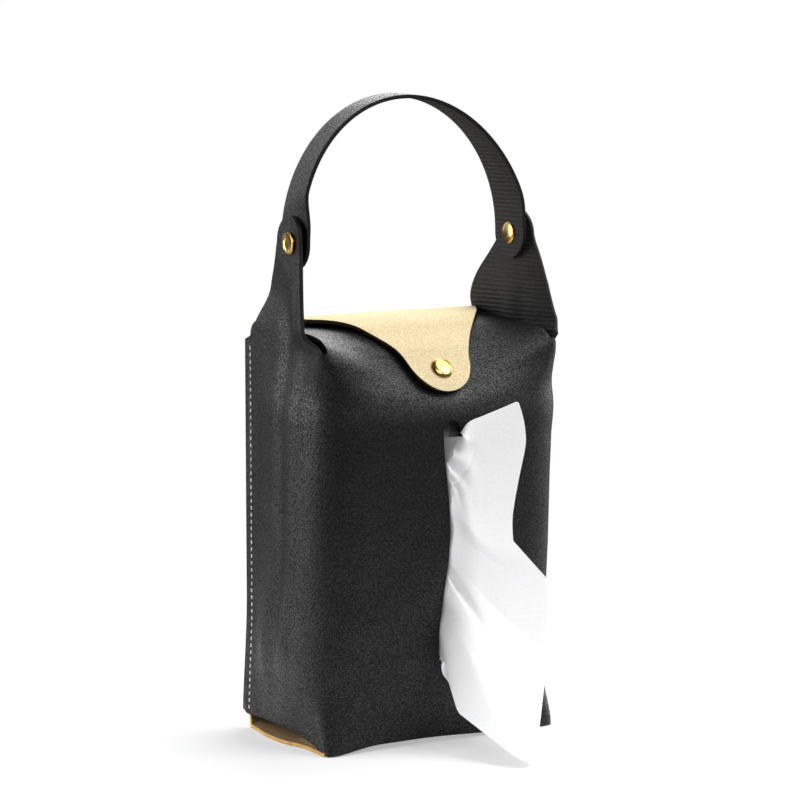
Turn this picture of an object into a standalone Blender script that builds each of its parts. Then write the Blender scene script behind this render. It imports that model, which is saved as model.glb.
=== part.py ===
"""Hanging tissue holder: a leather wrap with two ears, a strap handle, a snap flap and a tissue pack inside.

Units are metres, +Z is up, the front with the slot faces -Y and the base rests on z = 0.
"""

import math

import bmesh
import bpy
from mathutils import Vector

# Driving sizes of the wrap
BAG_WIDTH = 0.126
BAG_DEPTH = 0.0785
LEATHER = 0.0018
GAP = 0.0003
SEAM_TOP_Z = 0.190
SLIT_Z = 0.186
SHOULDER_Z = 0.150
FRONT_BULGE = 0.0096
SIDE_BULGE = 0.006
CREST_Y = -0.004
CREST_DRIFT = 0.022
PINCH_RISE = 0.040
SOFT_POWER = 4.0
MOST_SOFT = 0.80
SIDE_LIFT = 0.0073
SIDE_LIFT_POWER = 1.6
SLIT_OPENING = 0.0025
HEM_DEPTH = 0.024
HEM_CORNER_CUT = 0.005

# Slot in the front
SLOT_WIDTH = 0.009
SLOT_TOP_Z = 0.157
SLOT_BOTTOM_Z = 0.041

# Ears and the rivets in them
RIVET_Y = -0.0062
RIVET_Z = 0.240
EAR_RADIUS = 0.0139
EAR_TOE_OUT = 0.29
EAR_TOE_OUT_START = 0.0055
EAR_TOE_OUT_RISE = 0.010
EAR_TOE_IN = 0.27
EAR_TOE_IN_START = 0.0140
EAR_TOE_IN_Z = 0.198
EAR_TOE_IN_RISE = 0.020
RIVET_CAP_RADIUS = 0.0053
RIVET_CAP_HEIGHT = 0.0017
RIVET_TUBE_RADIUS = 0.0021
RIVET_PIN_RADIUS = 0.0011
RIVET_HOLE_CLEARANCE = 0.0003

# Strap handle
STRAP_WIDTH = 0.025
ARCH_HEIGHT = 0.0686
STRAP_TOE = 0.14
STRAP_SKEW = 0.26
STRAP_TWIST_START = 0.018
STRAP_TWIST_RISE = 0.020

# Roll of the front panel over the top, and the flap on it
ROLL_END_SHORT_OF_BACK = 0.02325
ROLL_END_RISE = 0.0088
ROLL_CORNER_RISE = 0.0084
SNAP_AHEAD_OF_FRONT = 0.00035
SNAP_BELOW_SEAM_TOP = 0.0095
SNAP_TILT = math.radians(42.0)
SNAP_FLAT = 0.013
FLAP_CREST_SHORT_OF_BACK = 0.01525
FLAP_CREST_RISE = 0.0113
FLAP_TIP_BELOW_SNAP = 0.0125
FLAP_TIP_RADIUS = 0.0155

# Snap fastener
SNAP_CAP_RADIUS = 0.0055
SNAP_CAP_HEIGHT = 0.0019
SNAP_RING_RADIUS = 0.0046
SNAP_SOCKET_HEIGHT = 0.0014
SNAP_FLANGE = 0.0005
SNAP_STUD_RADIUS = 0.0017
SNAP_TUBE_RADIUS = 0.0012
SNAP_PIN_RADIUS = 0.0009

# Back and base panel
BASE_CORNER_RADIUS = 0.010
SEAM_FLANGE = 0.006
BASE_STEP = 0.004
BASE_FLARE = 0.0024

# Stitching
THREAD = 0.0006
STITCH_INSET = 0.0028
SEAM_END_MARGIN = 0.003

# Tissue pack
PACK_SIDE_ROOM = 0.0092
PACK_FRONT_ROOM = 0.00575
PACK_BACK_ROOM = 0.01475
PACK_TOP_ROOM = 0.018
PACK_CORNER = 0.006
FILM = 0.0003
FILM_WINDOW_WIDTH = 0.016
FILM_WINDOW_MARGIN = 0.010

# Pulled tissue
TISSUE_THICKNESS = 0.0007
TISSUE_FOLD = 0.0035
TISSUE_FOLDS = 3.5
TISSUE_REACH = 0.050
TISSUE_FLOOR_CLEARANCE = 0.0008

OVERRUN = 0.004

HALF_WIDTH = BAG_WIDTH / 2
FRONT_Y = -BAG_DEPTH / 2
BACK_Y = BAG_DEPTH / 2
HALF_PATH = BAG_DEPTH + HALF_WIDTH
CORNER_SHARE = BAG_DEPTH / HALF_PATH
INNER_HALF_WIDTH = HALF_WIDTH - LEATHER
SNAP_STACK = 3 * GAP + SNAP_SOCKET_HEIGHT + SNAP_FLANGE
SNAP_Y = FRONT_Y - SNAP_AHEAD_OF_FRONT
SNAP_Z = SEAM_TOP_Z - SNAP_BELOW_SEAM_TOP
ROLL_END_Y = BACK_Y - ROLL_END_SHORT_OF_BACK
ROLL_END_Z = SEAM_TOP_Z + ROLL_END_RISE
ROLL_CORNER_Z = SEAM_TOP_Z + ROLL_CORNER_RISE
FLAP_CREST_Y = BACK_Y - FLAP_CREST_SHORT_OF_BACK
FLAP_CREST_Z = SEAM_TOP_Z + FLAP_CREST_RISE
PACK_WIDTH = 2 * (INNER_HALF_WIDTH - PACK_SIDE_ROOM)
PACK_DEPTH = BAG_DEPTH - PACK_FRONT_ROOM - PACK_BACK_ROOM
PACK_HEIGHT = SLIT_Z - PACK_TOP_ROOM
PACK_FRONT_Y = FRONT_Y + PACK_FRONT_ROOM

# Places along the profiles, as shares of the sizes that they follow
BULGE_SHARES = ((0.0, 0.0), (0.13, 0.27), (0.27, 0.48), (0.45, 0.62), (0.66, 0.75), (0.85, 0.90), (1.0, 1.0))
EAR_BACK_SHARES = (
    (1.0, 0.0), (0.88, 0.124), (0.79, 0.23), (0.72, 0.33), (0.583, 0.55), (0.455, 0.763), (0.345, 0.93),
)
EAR_FRONT_SHARES = (
    (1.0, 0.0), (0.90, 0.07), (0.785, 0.20), (0.68, 0.36), (0.59, 0.56), (0.505, 0.78), (0.443, 0.93),
)
SHOULDER_SHARES = ((0.06, 0.38), (0.38, 0.74))
ROLL_SHARES = ((0.08, 0.315), (0.163, 0.527), (0.247, 0.709), (0.33, 0.867), (0.456, 0.976), (0.665, 1.024))
CORNER_ROLL_SHARES = ((0.0, 0.0), (0.05, 0.46), (0.15, 0.78), (0.32, 0.90), (0.62, 0.97), (1.0, 1.0))
FLAP_FOLD_SHARES = ((0.02, 0.37), (0.15, 0.70), (0.51, 0.93))
FLAP_TOP_SHARES = (
    (0.17, -0.044), (0.34, -0.0625), (0.47, -0.069), (0.574, -0.031), (0.675, 0.081), (0.743, 0.2375),
    (0.81, 0.40), (0.878, 0.5625), (0.945, 0.756),
)
FLAP_TIP_SHARES = ((0.24, 0.36), (0.38, 0.80))
FLAP_WIDTH_SHARES = (
    (0.00, 0.985), (0.11, 0.975), (0.21, 0.970), (0.30, 0.866), (0.396, 0.768), (0.47, 0.686),
    (0.55, 0.588), (0.59, 0.523), (0.633, 0.4575), (0.678, 0.4085), (0.72, 0.376), (0.768, 0.327),
    (0.818, 0.294), (1.00, 0.245),
)
HEM_ROW_SHARES = (1.0, 0.5, HEM_CORNER_CUT / HEM_DEPTH, 0.0)
HEM_SEAM_SHARE = 0.55
EAR_CIRCLE_DROP_SHARE = 0.1
EAR_TOP_TURNS = (0.0, 20.0, 40.0, 60.0, 78.0)
EAR_ROW_POWER = 1.35
STRAP_TIP_TURN = 12.0
RIVET_OUTER_SHARES = ((0.0, 0.70), (0.62, 0.74), (0.80, 1.0), (0.93, 0.86), (1.0, 0.40), (0.94, 0.0))
RIVET_INNER_SHARES = ((0.0, 1.0), (0.40, 0.95), (0.72, 0.78), (0.94, 0.45), (1.0, 0.20), (0.95, 0.0))
SNAP_DOME_SHARES = ((0.93, 0.0), (1.0, 0.25), (0.94, 0.50), (0.72, 0.82), (0.38, 0.97), (0.0, 1.0))
STUD_NECK_SHARE = 0.8
THREAD_HEIGHT_SHARE = 0.7
TISSUE_MOUTH_SHARE = 0.25
TISSUE_CREASE_SHARE = 0.25
TISSUE_SAG_SHARE = 0.10
TISSUE_FOLD_LEAN_SHARE = 0.3
TISSUE_FOLD_GROWTH = 1.6
TISSUE_FOLD_DECAY_SHARE = 0.65
TISSUE_LIFT_GROWTH = 4.0
TISSUE_EDGE_SHARES = (
    (0.02, 0.02, 0.985), (0.15, 0.04, 1.00), (0.44, 0.08, 1.03), (0.61, 0.10, 1.05), (0.73, 0.10, 0.94),
    (0.66, 0.10, 0.81), (0.57, 0.10, 0.70), (0.59, 0.12, 0.62), (0.93, 0.16, 0.49), (0.95, 0.24, 0.39),
    (0.84, 0.36, 0.28), (0.50, 0.72, 0.08), (0.23, 1.00, 0.008), (0.18, 0.80, 0.008), (0.13, 0.50, 0.05),
    (-0.03, 0.16, 0.117), (-0.07, 0.06, 0.197), (-0.10, 0.02, 0.26),
)


def smooth(value):
    """Rises from 0 to 1 with level ends as value goes from 0 to 1."""
    t = min(max(value, 0.0), 1.0)
    return t * t * (3 - 2 * t)


def spread(count):
    return [i / (count - 1) for i in range(count)]


def lengths_along(points):
    total = [0.0]
    for a, b in zip(points, points[1:]):
        total.append(total[-1] + math.dist(a, b))
    return total


def point_at(points, distance):
    """The point at this distance along a polyline."""
    run = lengths_along(points)
    distance = min(max(distance, 0.0), run[-1])
    for i in range(1, len(points)):
        if distance <= run[i] or i == len(points) - 1:
            step = run[i] - run[i - 1]
            share = (distance - run[i - 1]) / step if step else 0.0
            return tuple(a + share * (b - a) for a, b in zip(points[i - 1], points[i]))


def resampled(points, count):
    """The polyline with its points spaced evenly along it."""
    total = lengths_along(points)[-1]
    return [point_at(points, total * share) for share in spread(count)]


def curved(controls, steps):
    """A smooth curve through the control points (Catmull-Rom)."""
    ends = [controls[0], *controls, controls[-1]]
    made = [tuple(controls[0])]
    for before, start, end, after in zip(ends, ends[1:], ends[2:], ends[3:]):
        for step in range(1, steps + 1):
            t = step / steps
            made.append(tuple(
                b + ((c - a) * t + (2 * a - 5 * b + 4 * c - d) * t**2 + (3 * b - a - 3 * c + d) * t**3) / 2
                for a, b, c, d in zip(before, start, end, after)
            ))
    return made


def value_at(pairs, place):
    """Reads a list of (place, value) pairs with a straight run between neighbours."""
    for (p0, v0), (p1, v1) in zip(pairs, pairs[1:]):
        if place <= p1:
            return v0 + (v1 - v0) * (place - p0) / (p1 - p0)
    return pairs[-1][1]


def material(name, colour, roughness, metallic=0.0):
    made = bpy.data.materials.new(name)
    made.use_nodes = True
    made.diffuse_color = (*colour, 1.0)
    shader = made.node_tree.nodes["Principled BSDF"]
    shader.inputs["Base Color"].default_value = (*colour, 1.0)
    shader.inputs["Roughness"].default_value = roughness
    shader.inputs["Metallic"].default_value = metallic
    return made


def add_object(name, mesh, made_of, parent=None):
    obj = bpy.data.objects.new(name, mesh)
    obj.data.materials.append(made_of)
    bpy.context.scene.collection.objects.link(obj)
    if parent is not None:
        obj.parent = parent
        obj.matrix_parent_inverse = parent.matrix_world.inverted()
    return obj


def grid_faces(bm, rows):
    """Quads between rows of vertices of equal length."""
    for low, high in zip(rows, rows[1:]):
        for i in range(len(low) - 1):
            bm.faces.new((low[i], low[i + 1], high[i + 1], high[i]))


def mesh_of(bm, name):
    mesh = bpy.data.meshes.new(name)
    bm.to_mesh(mesh)
    bm.free()
    mesh.shade_smooth()
    mesh.set_sharp_from_angle(angle=math.radians(40.0))
    return mesh


def sheet_object(name, grids, thickness, made_of, parent=None):
    """Joins grids of points where they meet, and gives the sheet its thickness on the inner side."""
    bm = bmesh.new()
    for grid in grids:
        grid_faces(bm, [[bm.verts.new(point) for point in row] for row in grid])
    bmesh.ops.remove_doubles(bm, verts=bm.verts, dist=GAP / 10)
    obj = add_object(name, mesh_of(bm, name), made_of, parent)
    solid = obj.modifiers.new("Thickness", "SOLIDIFY")
    solid.thickness = thickness
    solid.offset = -1.0
    solid.use_even_offset = True
    return obj


def cut(obj, cutter):
    cutter.hide_render = True
    cutter.display_type = "WIRE"
    boolean = obj.modifiers.new("Cut " + cutter.name, "BOOLEAN")
    boolean.operation = "DIFFERENCE"
    boolean.object = cutter
    return obj


def turned(name, profile, origin, axis, made_of, sides=28, parent=None):
    """Revolves (radius, height) points about the axis through origin; they start and end on the axis."""
    bm = bmesh.new()
    rings = []
    for radius, height in profile:
        if radius == 0:
            rings.append([bm.verts.new((0, 0, height))])
            continue
        turns = [math.tau * (i + 0.5) / sides for i in range(sides)]
        rings.append([bm.verts.new((radius * math.cos(t), radius * math.sin(t), height)) for t in turns])
    for low, high in zip(rings, rings[1:]):
        for i in range(sides):
            j = (i + 1) % sides
            ring = [low[i % len(low)], low[j % len(low)], high[j % len(high)], high[i % len(high)]]
            bm.faces.new(list(dict.fromkeys(ring)))
    bmesh.ops.recalc_face_normals(bm, faces=bm.faces)
    rotation = Vector((0, 0, 1)).rotation_difference(Vector(axis))
    bmesh.ops.rotate(bm, verts=bm.verts, cent=(0, 0, 0), matrix=rotation.to_matrix())
    bmesh.ops.translate(bm, verts=bm.verts, vec=Vector(origin))
    return add_object(name, mesh_of(bm, name), made_of, parent)


def box_object(name, low, high, made_of, bevel=0.0, parent=None):
    bm = bmesh.new()
    bmesh.ops.create_cube(bm, size=1.0)
    size = Vector(high) - Vector(low)
    for vertex in bm.verts:
        vertex.co = Vector(low) + Vector(size[i] * (vertex.co[i] + 0.5) for i in range(3))
    if bevel:
        bmesh.ops.bevel(bm, geom=bm.edges, offset=bevel, segments=3, profile=0.5, affect="EDGES")
    return add_object(name, mesh_of(bm, name), made_of, parent)


def empty_at(name, place):
    made = bpy.data.objects.new(name, None)
    made.location = place
    bpy.context.scene.collection.objects.link(made)
    bpy.context.view_layer.update()
    return made


# The wall of the wrap


def bulge(z):
    """How far the front stands out at its centre."""
    return FRONT_BULGE * value_at(BULGE_SHARES, z / SHOULDER_Z)


def softness(z):
    """How round the walls are: pinched at the base and at the slit, soft between."""
    return MOST_SOFT * smooth(z / PINCH_RISE) * smooth((SLIT_Z - z) / PINCH_RISE)


def square_point(share, z):
    """The wall in plan with a square corner: a straight side, then a front that bulges."""
    if share < CORNER_SHARE:
        return -HALF_WIDTH, BACK_Y - share * HALF_PATH
    x = -HALF_WIDTH + share * HALF_PATH - BAG_DEPTH
    return x, FRONT_Y - bulge(z) * (1 - (x / HALF_WIDTH) ** 2)


def soft_outline(z):
    """The wall in plan as a filled bag has it: the side bulges to a crest, then a wide round corner."""
    crest_y = CREST_Y + CREST_DRIFT * (1 - smooth(z / SHOULDER_Z))
    crest_x = HALF_WIDTH + SIDE_BULGE
    made = []
    flange_share = SEAM_FLANGE / (BACK_Y - crest_y)
    for share in spread(13):
        out = SIDE_BULGE * smooth((share - flange_share) / (1 - flange_share))
        made.append((-HALF_WIDTH - out, BACK_Y - share * (BACK_Y - crest_y)))
    depth = crest_y - FRONT_Y + bulge(z)
    for share in spread(25)[1:]:
        turn = share * math.pi / 2
        made.append((
            -crest_x * max(math.cos(turn), 0.0) ** (2 / SOFT_POWER),
            crest_y - depth * math.sin(turn) ** (2 / SOFT_POWER),
        ))
    return made


def wall_point(share, z):
    """The outer face of the left half, at a share of its path from the back edge to the front centre."""
    outline = soft_outline(z)
    soft = point_at(outline, share * lengths_along(outline)[-1])
    k = softness(z)
    return tuple(a + k * (b - a) for a, b in zip(square_point(share, z), soft))


def snap_frame():
    """The outward normal at the snap and the direction up along the leather."""
    normal = Vector((0, -math.cos(SNAP_TILT), math.sin(SNAP_TILT)))
    upward = Vector((0, math.sin(SNAP_TILT), math.cos(SNAP_TILT)))
    return normal, upward


def snap_line(depth):
    """Both ends of the flat at the snap, at this depth below the flap's outer face, as (y, z)."""
    normal, upward = snap_frame()
    centre = Vector((0, SNAP_Y, SNAP_Z)) - normal * depth
    ends = (centre - upward * SNAP_FLAT / 2, centre + upward * SNAP_FLAT / 2)
    return [(end.y, end.z) for end in ends]


def roll_profile():
    """The front panel's outer face at its centre: up to the snap's flat, and from it to the free edge."""
    low, high = snap_line(LEATHER + SNAP_STACK)
    wall_y = FRONT_Y - FRONT_BULGE
    rise = low[1] - SHOULDER_Z
    run = ROLL_END_Y - high[0]
    climb = ROLL_END_Z - high[1]
    lean = low[0] - wall_y
    below = [(wall_y + a * lean, SHOULDER_Z + b * rise) for a, b in ((0, 0), *SHOULDER_SHARES)]
    above = [(high[0] + a * run, high[1] + b * climb) for a, b in ROLL_SHARES]
    return curved([*below, low], 6), curved([high, *above, (ROLL_END_Y, ROLL_END_Z)], 6)


def corner_roll_profile():
    """The same at the end of the roll, above the slit, where it stands higher and turns sharply."""
    run = ROLL_END_Y - FRONT_Y
    climb = ROLL_CORNER_Z - SLIT_Z
    return curved([(FRONT_Y + a * run, SLIT_Z + b * climb) for a, b in CORNER_ROLL_SHARES], 6)


LOW_ROW_COUNT = 12
SHOULDER_ROW_COUNT = 5
FLAT_ROW_COUNT = 2
ROLL_ROW_COUNT = 11
SIDE_COLUMN_COUNT = 15
FRONT_COLUMN_COUNT = 11


def wall_heights():
    lower = [SHOULDER_Z * share for share in spread(LOW_ROW_COUNT)]
    upper = [SHOULDER_Z + (SLIT_Z - SHOULDER_Z) * share for share in spread(SHOULDER_ROW_COUNT)]
    return lower, upper


def roll_rows():
    """Centre and end of the roll, row by row: the shoulder rows first, then the rows above the slit."""
    below, beyond = roll_profile()
    shoulder = resampled(below, SHOULDER_ROW_COUNT)
    flat = resampled([below[-1], beyond[0]], FLAT_ROW_COUNT + 1)
    above = flat[1:] + resampled(beyond, ROLL_ROW_COUNT)[1:]
    corner = resampled(corner_roll_profile(), len(above) + 1)[1:]
    return shoulder, above, corner


def front_column(across):
    """One column of the left half's front, wall and roll, at a share of the way from corner to centre."""
    share = CORNER_SHARE + (1 - CORNER_SHARE) * across
    weight = 1 - (1 - across) ** 2
    lower, upper = wall_heights()
    shoulder, above, corner = roll_rows()
    column = [(*wall_point(share, z), z) for z in lower]
    for z, (centre_y, centre_z) in zip(upper[1:], shoulder[1:]):
        x, y = wall_point(share, z)
        wall_centre_y = FRONT_Y - bulge(z)
        column.append((x, y + weight * (centre_y - wall_centre_y), z + weight * (centre_z - z)))
    x = -HALF_WIDTH * (1 - across)
    narrowing = (HALF_WIDTH - SLIT_OPENING) / HALF_WIDTH
    for (centre_y, centre_z), (corner_y, corner_z) in zip(above, corner):
        column.append((
            x * narrowing,
            corner_y + weight * (centre_y - corner_y),
            corner_z + weight * (centre_z - corner_z),
        ))
    return column


def hem_column(across):
    """The hem turned under the base, from its free edge to the bottom fold."""
    share = CORNER_SHARE + (1 - CORNER_SHARE) * across
    x, y = wall_point(share, 0.0)
    cut_in = HEM_CORNER_CUT * abs(x) / HALF_WIDTH
    column = [(x + cut_in, y + HEM_DEPTH * depth, 0.0) for depth in HEM_ROW_SHARES]
    column[-1] = (x, y, 0.0)
    return column


def side_bottom(share):
    """The lower edge of the side panel, at a share of the way from the back seam to the front corner."""
    return SIDE_LIFT * (1 - share**SIDE_LIFT_POWER)


def ear_edges():
    """Back and front edge of the ear as (y, z) lists from the slit height to the round top."""
    circle_z = RIVET_Z - EAR_RADIUS * EAR_CIRCLE_DROP_SHARE
    back_run = BACK_Y - RIVET_Y
    front_run = RIVET_Y - FRONT_Y
    back = [(RIVET_Y + a * back_run, SEAM_TOP_Z + b * (circle_z - SEAM_TOP_Z)) for a, b in EAR_BACK_SHARES]
    front = [(RIVET_Y - a * front_run, SLIT_Z + b * (circle_z - SLIT_Z)) for a, b in EAR_FRONT_SHARES]
    back = curved(back, 3)
    front = curved(front, 3)
    for side, edge in ((1, back), (-1, front)):
        for turn in EAR_TOP_TURNS:
            ahead = side * EAR_RADIUS * math.cos(math.radians(turn))
            edge.append((RIVET_Y + ahead, circle_z + EAR_RADIUS * math.sin(math.radians(turn))))
    return [(BACK_Y, SLIT_Z), *back], front


def toe(y, z):
    """How far the ear leans out of the side's plane: out at its front edge, in at its back edge."""
    ahead = RIVET_Y - y
    reach = math.hypot(ahead, z - RIVET_Z)
    if ahead > 0:
        beyond = max(0.0, 1 - EAR_TOE_OUT_START / max(reach, EAR_TOE_OUT_START))
        return EAR_TOE_OUT * beyond * ahead * smooth((z - SLIT_Z) / EAR_TOE_OUT_RISE)
    beyond = max(0.0, 1 - EAR_TOE_IN_START / max(reach, EAR_TOE_IN_START))
    return EAR_TOE_IN * beyond * ahead * smooth((z - EAR_TOE_IN_Z) / EAR_TOE_IN_RISE)


EAR_ROW_COUNT = 15


def side_column(share):
    """One column of the left side panel: wall rows up to the slit, then the ear's rows."""
    lower, upper = wall_heights()
    column = []
    for z in lower + upper[1:]:
        x, y = wall_point(share * CORNER_SHARE, z)
        bottom = side_bottom(share)
        column.append((x, y, bottom + z * (SLIT_Z - bottom) / SLIT_Z))
    back, front = (resampled_by_height(edge) for edge in ear_edges())
    for (back_y, back_z), (front_y, front_z) in zip(back[1:], front[1:]):
        y = back_y + share * (front_y - back_y)
        z = back_z + share * (front_z - back_z)
        column.append((-HALF_WIDTH - toe(y, z), y, z))
    return column


def resampled_by_height(edge):
    """The edge at EAR_ROW_COUNT heights, so that both edges of the ear have rows at the same heights."""
    low = edge[0][1]
    high = edge[-1][1]
    heights = [low + (high - low) * (1 - (1 - share) ** EAR_ROW_POWER) for share in spread(EAR_ROW_COUNT)]
    return [(value_at([(z, y) for y, z in edge], height), height) for height in heights]


def mirrored(grid):
    return [[(-x, y, z) for x, y, z in reversed(row)] for row in grid]


def rows_from(columns):
    return [list(row) for row in zip(*columns)]


def body_wrap(made_of):
    side = rows_from([side_column(share) for share in spread(SIDE_COLUMN_COUNT)])
    front = rows_from([front_column(across) for across in spread(FRONT_COLUMN_COUNT)])
    hem = rows_from([hem_column(across) for across in spread(FRONT_COLUMN_COUNT)])
    grids = [grid for half in (side, front, hem) for grid in (half, mirrored(half))]
    wrap = sheet_object("body_wrap", grids, LEATHER, made_of)
    cut(wrap, slot_cutter(made_of))
    for sign in (-1, 1):
        hole = RIVET_TUBE_RADIUS + RIVET_HOLE_CLEARANCE
        start = (sign * (HALF_WIDTH + OVERRUN), RIVET_Y, RIVET_Z)
        length = 2 * OVERRUN + LEATHER
        cut(wrap, rod_cutter("ear_hole", hole, length, start, (-sign, 0, 0), made_of))
    cut(wrap, snap_hole("wrap_snap_hole", SNAP_TUBE_RADIUS + GAP, LEATHER + SNAP_STACK, made_of))
    return wrap


def rod_cutter(name, radius, length, start, axis, made_of):
    profile = [(0, 0), (radius, 0), (radius, length), (0, length)]
    return turned(name, profile, start, axis, made_of, sides=24)


def snap_hole(name, radius, depth, made_of):
    """A hole through the leather whose outer face lies this deep below the flap's outer face."""
    normal, _ = snap_frame()
    start = Vector((0, SNAP_Y, SNAP_Z)) - normal * (depth - GAP)
    return rod_cutter(name, radius, LEATHER + 2 * GAP, start, -normal, made_of)


def slot_cutter(made_of):
    """A round-ended bar through the front panel."""
    bm = bmesh.new()
    radius = SLOT_WIDTH / 2
    ring = []
    for end_z, start in ((SLOT_TOP_Z - radius, 0.0), (SLOT_BOTTOM_Z + radius, math.pi)):
        for share in spread(14):
            turn = start + math.pi * share
            ring.append((radius * math.cos(turn), end_z + radius * math.sin(turn)))
    near_y = FRONT_Y - FRONT_BULGE - OVERRUN
    far_y = FRONT_Y
    near = [bm.verts.new((x, near_y, z)) for x, z in ring]
    far = [bm.verts.new((x, far_y, z)) for x, z in ring]
    bm.faces.new(near)
    bm.faces.new(list(reversed(far)))
    for i in range(len(ring)):
        j = (i + 1) % len(ring)
        bm.faces.new((near[j], near[i], far[i], far[j]))
    bmesh.ops.recalc_face_normals(bm, faces=bm.faces)
    return add_object("slot_cutter", mesh_of(bm, "slot_cutter"), made_of)


# Back and base panel


def base_path():
    """The outer face of the cream panel in (y, z), from the seam's top down the back and along the base."""
    top_z = SEAM_TOP_Z - GAP
    path = [(BACK_Y, top_z)]
    straight_end = BASE_CORNER_RADIUS + SIDE_LIFT
    path += [(BACK_Y, top_z + (straight_end - top_z) * share) for share in spread(7)[1:]]
    for turn in (0, 15, 30, 45, 60, 75, 90):
        angle = math.radians(turn)
        path.append((
            BACK_Y - BASE_CORNER_RADIUS * (1 - math.cos(angle)),
            BASE_CORNER_RADIUS * (1 - math.sin(angle)),
        ))
    hem_end_y = FRONT_Y + HEM_DEPTH
    over_hem = LEATHER + GAP
    path.append((hem_end_y + GAP + BASE_STEP, 0.0))
    path.append((hem_end_y + GAP, over_hem))
    path.append((FRONT_Y + LEATHER + GAP + OVERRUN, over_hem))
    return path


def back_base_panel(made_of):
    edge_x = INNER_HALF_WIDTH - GAP
    path = base_path()
    panel = []
    for y, z in path[:-2]:
        half = edge_x + BASE_FLARE * smooth(1 - z / (SIDE_LIFT - LEATHER))
        panel.append([(x, y, z) for x in (-half, 0.0, half)])
    for (y, z), half in zip(path[-2:], (edge_x, edge_x - HEM_CORNER_CUT)):
        panel.append([(x, y, z) for x in (-half, 0.0, half)])
    rows = [(y, z) for y, z in path if z >= BASE_CORNER_RADIUS + SIDE_LIFT - GAP]
    flange = [[(-edge_x, y - SEAM_FLANGE, z), (-edge_x, y, z)] for y, z in rows]
    return sheet_object("back_base_panel", [panel, flange, mirrored(flange)], LEATHER, made_of)


# Top flap


def between(start, end, shares):
    """The points at these shares of the way from start to end in y, and in z."""
    return [(start[0] + a * (end[0] - start[0]), start[1] + b * (end[1] - start[1])) for a, b in shares]


def flap_profile():
    """The flap's outer face in (y, z): from the hinge line to the snap's flat, and from it to the tip."""
    low, high = snap_line(0.0)
    crest = (FLAP_CREST_Y, FLAP_CREST_Z)
    hinge = (BACK_Y, SEAM_TOP_Z + GAP)
    fold = between(hinge, crest, FLAP_FOLD_SHARES)
    top = between(crest, high, FLAP_TOP_SHARES)
    tip = [(low[0] - a * SNAP_FLAT, low[1] - b * SNAP_FLAT) for a, b in FLAP_TIP_SHARES]
    return curved([hinge, *fold, crest, *top, high], 5), curved([low, *tip], 5)


def flap_half_width(distance, length):
    """Half the flap's width at a distance from the hinge: wide at the fold, a round tongue at the tip."""
    from_tip = length - distance
    width = INNER_HALF_WIDTH * value_at(FLAP_WIDTH_SHARES, distance / length)
    if from_tip < FLAP_TIP_RADIUS:
        width = min(width, math.sqrt(max(FLAP_TIP_RADIUS**2 - (FLAP_TIP_RADIUS - from_tip) ** 2, 0.0)))
    return width


FLAP_ROW_COUNT = 22
TIP_ROW_COUNT = 7
FLAP_COLUMN_COUNT = 9


def top_flap(made_of, parent):
    upper, tip = flap_profile()
    flat_start = lengths_along(upper)[-1]
    flat_end = flat_start + SNAP_FLAT
    length = flat_end - SNAP_FLAT / 2 + FLAP_TIP_BELOW_SNAP
    distances = [flat_start * share for share in spread(FLAP_ROW_COUNT)]
    distances += [flat_start + SNAP_FLAT * share for share in spread(FLAT_ROW_COUNT + 1)[1:]]
    last = length - GAP / 3 - flat_end
    distances += [flat_end + last * (1 - (1 - share) ** 2) for share in spread(TIP_ROW_COUNT)[1:]]
    rows = []
    for distance in distances:
        y, z = point_at(upper + tip, distance)
        half = flap_half_width(distance, length)
        across = [half * (2 * s - 1) for s in spread(FLAP_COLUMN_COUNT)]
        rows.append([(x, y, z) for x in reversed(across)])
    flap = sheet_object("top_flap", [rows], LEATHER, made_of, parent)
    return cut(flap, snap_hole("flap_snap_hole", SNAP_TUBE_RADIUS + 2 * GAP, 0.0, made_of))


# Snap fastener


def snap_pieces(brass, flap_hinge):
    """Cap and socket on the flap, stud and post on the front panel, all turned about the snap's own axis."""
    normal, _ = snap_frame()
    centre = Vector((0, SNAP_Y, SNAP_Z))
    tube = SNAP_TUBE_RADIUS
    dome = [(SNAP_CAP_RADIUS * a, GAP + SNAP_CAP_HEIGHT * b) for a, b in SNAP_DOME_SHARES]
    cap = [(0, -LEATHER), (tube, -LEATHER), (tube, GAP), *dome]
    turned("snap_cap", cap, centre, normal, brass, parent=flap_hinge)
    top = -LEATHER - GAP
    low = top - SNAP_SOCKET_HEIGHT
    bore = SNAP_STUD_RADIUS + GAP
    ring = SNAP_RING_RADIUS
    roof = top - SNAP_FLANGE
    socket = [(0, top), (ring, top), (ring, low), (bore, low), (bore, roof), (0, roof)]
    turned("snap_socket", socket, centre, normal, brass, parent=flap_hinge)
    plate_top = low - GAP
    plate_low = plate_top - SNAP_FLANGE
    head = roof - GAP
    neck = SNAP_STUD_RADIUS * STUD_NECK_SHARE
    stud = [
        (0, plate_low), (ring, plate_low), (ring, plate_top), (neck, plate_top),
        (SNAP_STUD_RADIUS, (plate_top + head) / 2), (neck, head), (0, head),
    ]
    turned("snap_stud", stud, centre, normal, brass)
    flange_top = -(2 * LEATHER + SNAP_STACK) - GAP
    flange_low = flange_top - SNAP_FLANGE
    pin_top = plate_low - GAP
    post = [
        (0, flange_low), (ring, flange_low), (ring, flange_top),
        (SNAP_PIN_RADIUS, flange_top), (SNAP_PIN_RADIUS, pin_top), (0, pin_top),
    ]
    turned("snap_post", post, centre, normal, brass)


# Handle


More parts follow.
